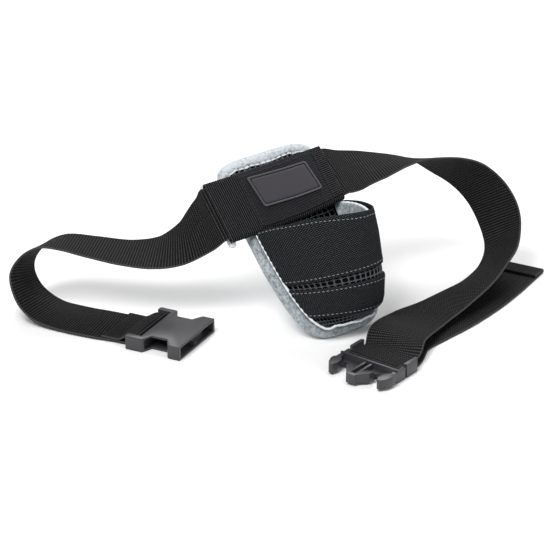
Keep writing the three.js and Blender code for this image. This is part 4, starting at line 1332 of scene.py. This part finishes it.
band_stitches("stitches_rim", *UPPER_TOP)
band_stitches("stitches_upper_low", *(end + SEAM_MARGIN for end in UPPER_BOTTOM))
band_stitches("stitches_lower_top", *(end - SEAM_MARGIN for end in LOWER_TOP))
band_stitches("stitches_lower_low", *(end + SEAM_MARGIN for end in LOWER_BOTTOM))


# Pale rolled edge over the pocket's seam, down its left side, along the bottom and up its right
seam_path = [(0.0, h) for h in np.linspace(1.0, POCKET_FOOT, 90)]
seam_path += [(s, POCKET_FOOT) for s in np.linspace(0.0, 1.0, 90)[1:]]
seam_path += [(1.0, h) for h in np.linspace(POCKET_FOOT, 1.0, 90)[1:]]
seam_points = []
for index, (share, up) in enumerate(seam_path):
    if up == POCKET_FOOT:
        up += 0.011 * (0.5 * math.sin(index * 0.19) + 0.4 * math.sin(index * 0.43 + 1))
    seam_points.append(pocket_point(share, up, SEAM_ROLL_OUT))
seam_thick = 0.95 + 0.15 * np.sin(np.arange(len(seam_points)) * 1.3)
rolled_edge("pocket_seam_edge", np.array(seam_points), [0.0, -1.0, 0.0], seam_thick)


# Stitches on the strap and the sleeve


def strap_seam(name, distance, side):
    """Stitches across the strap at a distance from its sewn end."""
    path, normals = [], []
    for share in np.linspace(-0.46, 0.46, 60):
        spot, way = strap_point(frames, distance, share, side * STRAP_THICKNESS / 2)
        path.append(spot)
        normals.append(way * side)
    stitches(name, path, normals, DARK_THREAD, 2.2, 1.0, 0.7)


strap_seam("stitches_flap_end", 3, 1)
strap_seam("stitches_flap_front", 19, 1)
strap_seam("stitches_hem", STRAP_LENGTH - 3, -1)


def sleeve_row(name, start, end, lift):
    """Stitches on the sleeve's face between two places, each along and up."""
    path, normals = [], []
    for share in np.linspace(0, 1, 40):
        x, z = (start[k] + (end[k] - start[k]) * share for k in (0, 1))
        spot = on_sleeve(x, z, lift)
        path.append(spot)
        normals.append(spot - on_sleeve(x, z, lift - 1))
    normals = np.array(normals) @ PAD_TURN.T
    stitches(name, from_pad(np.array(path)), normals, DARK_THREAD, 2.2, 1.0, 0.6)


seam = sleeve_half - 1.5
patch_left, patch_right, hem_left = PATCH_START + 1.5, PATCH_END - 1.5, END_HEM_START + 1.8
sleeve_row("stitches_patch_left", (patch_left, -seam), (patch_left, seam), PATCH_LIFT)
sleeve_row("stitches_patch_right", (patch_right, -seam), (patch_right, seam), PATCH_LIFT)
sleeve_row("stitches_patch_top", (patch_left, seam), (patch_right, seam), PATCH_LIFT)
sleeve_row("stitches_patch_low", (patch_left, -seam), (patch_right, -seam), PATCH_LIFT)
sleeve_row("stitches_end_hem", (hem_left, -seam), (hem_left, seam), END_HEM_LIFT)


# Buckle halves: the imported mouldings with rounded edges


def moulding(name, node):
    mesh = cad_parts[node].data.copy()
    mesh.name = name
    shape = bmesh.new()
    shape.from_mesh(mesh)
    bmesh.ops.remove_doubles(shape, verts=shape.verts, dist=1e-5)
    bmesh.ops.dissolve_limit(shape, angle_limit=math.radians(1), verts=shape.verts, edges=shape.edges)
    shape.to_mesh(mesh)
    shape.free()
    mesh.materials.clear()
    mesh.materials.append(PLASTIC)
    mesh.polygons.foreach_set("use_smooth", [True] * len(mesh.polygons))
    piece = bpy.data.objects.new(name, mesh)
    bpy.context.collection.objects.link(piece)
    bevel = piece.modifiers.new("edges", "BEVEL")
    bevel.width = EDGE_BEVEL * MM
    bevel.segments = 2
    bevel.limit_method = "ANGLE"
    bevel.angle_limit = math.radians(25)
    bevel.harden_normals = True
    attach(piece, BODY)
    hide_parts(node)


moulding("socket", "buckle_socket")
moulding("plug", "buckle_plug")

# Floor, light and camera
bpy.ops.mesh.primitive_plane_add(size=FLOOR_SIZE, location=(0, 0, 0))
floor = bpy.context.object
floor.name = "floor"
floor.data.materials.append(
    plain_look("floor_paper", (0.86, 0.86, 0.86), (0.90, 0.90, 0.90), 40, 0.05, 0.9, 0.0, 0.2)
)
floor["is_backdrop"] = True

world = bpy.data.worlds.new("studio")
bpy.context.scene.world = world
world.use_nodes = True
world.node_tree.nodes["Background"].inputs[0].default_value = (1, 1, 1, 1)
world.node_tree.nodes["Background"].inputs[1].default_value = WORLD_STRENGTH


def soft_light(name, place, size, power):
    """An area light that faces the belt. Place and size are in metres."""
    data = bpy.data.lights.new(name, "AREA")
    data.shape = "RECTANGLE"
    data.size, data.size_y = size
    data.energy = power
    lamp = bpy.data.objects.new(name, data)
    bpy.context.collection.objects.link(lamp)
    lamp.location = place
    lamp.rotation_euler = (-lamp.location).to_track_quat("-Z", "Y").to_euler()


soft_light("key", (-0.6, -0.9, 1.6), (0.9, 0.9), 31)
soft_light("fill", (1.4, -0.8, 1.1), (1.2, 1.2), 9)
soft_light("back", (0.3, 1.4, 1.5), (1.6, 0.8), 28)

bpy.context.scene.view_settings.view_transform = "Standard"
camera_data = bpy.data.cameras.new("camera")
camera_data.lens = CAMERA_LENS
camera_data.clip_start = 0.05
camera_data.clip_end = 30
camera = bpy.data.objects.new("camera", camera_data)
bpy.context.collection.objects.link(camera)
elevation = math.radians(CAMERA_ELEVATION)
away = CAMERA_DISTANCE * np.array([0, -math.cos(elevation), math.sin(elevation)])
camera.location = (away + SHIFT) * MM
camera.rotation_euler = (math.pi / 2 - elevation, 0, 0)
bpy.context.scene.camera = camera

low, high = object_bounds()
{"cad": [list(cad_low), list(cad_high)], "visual": [list(low), list(high)]}
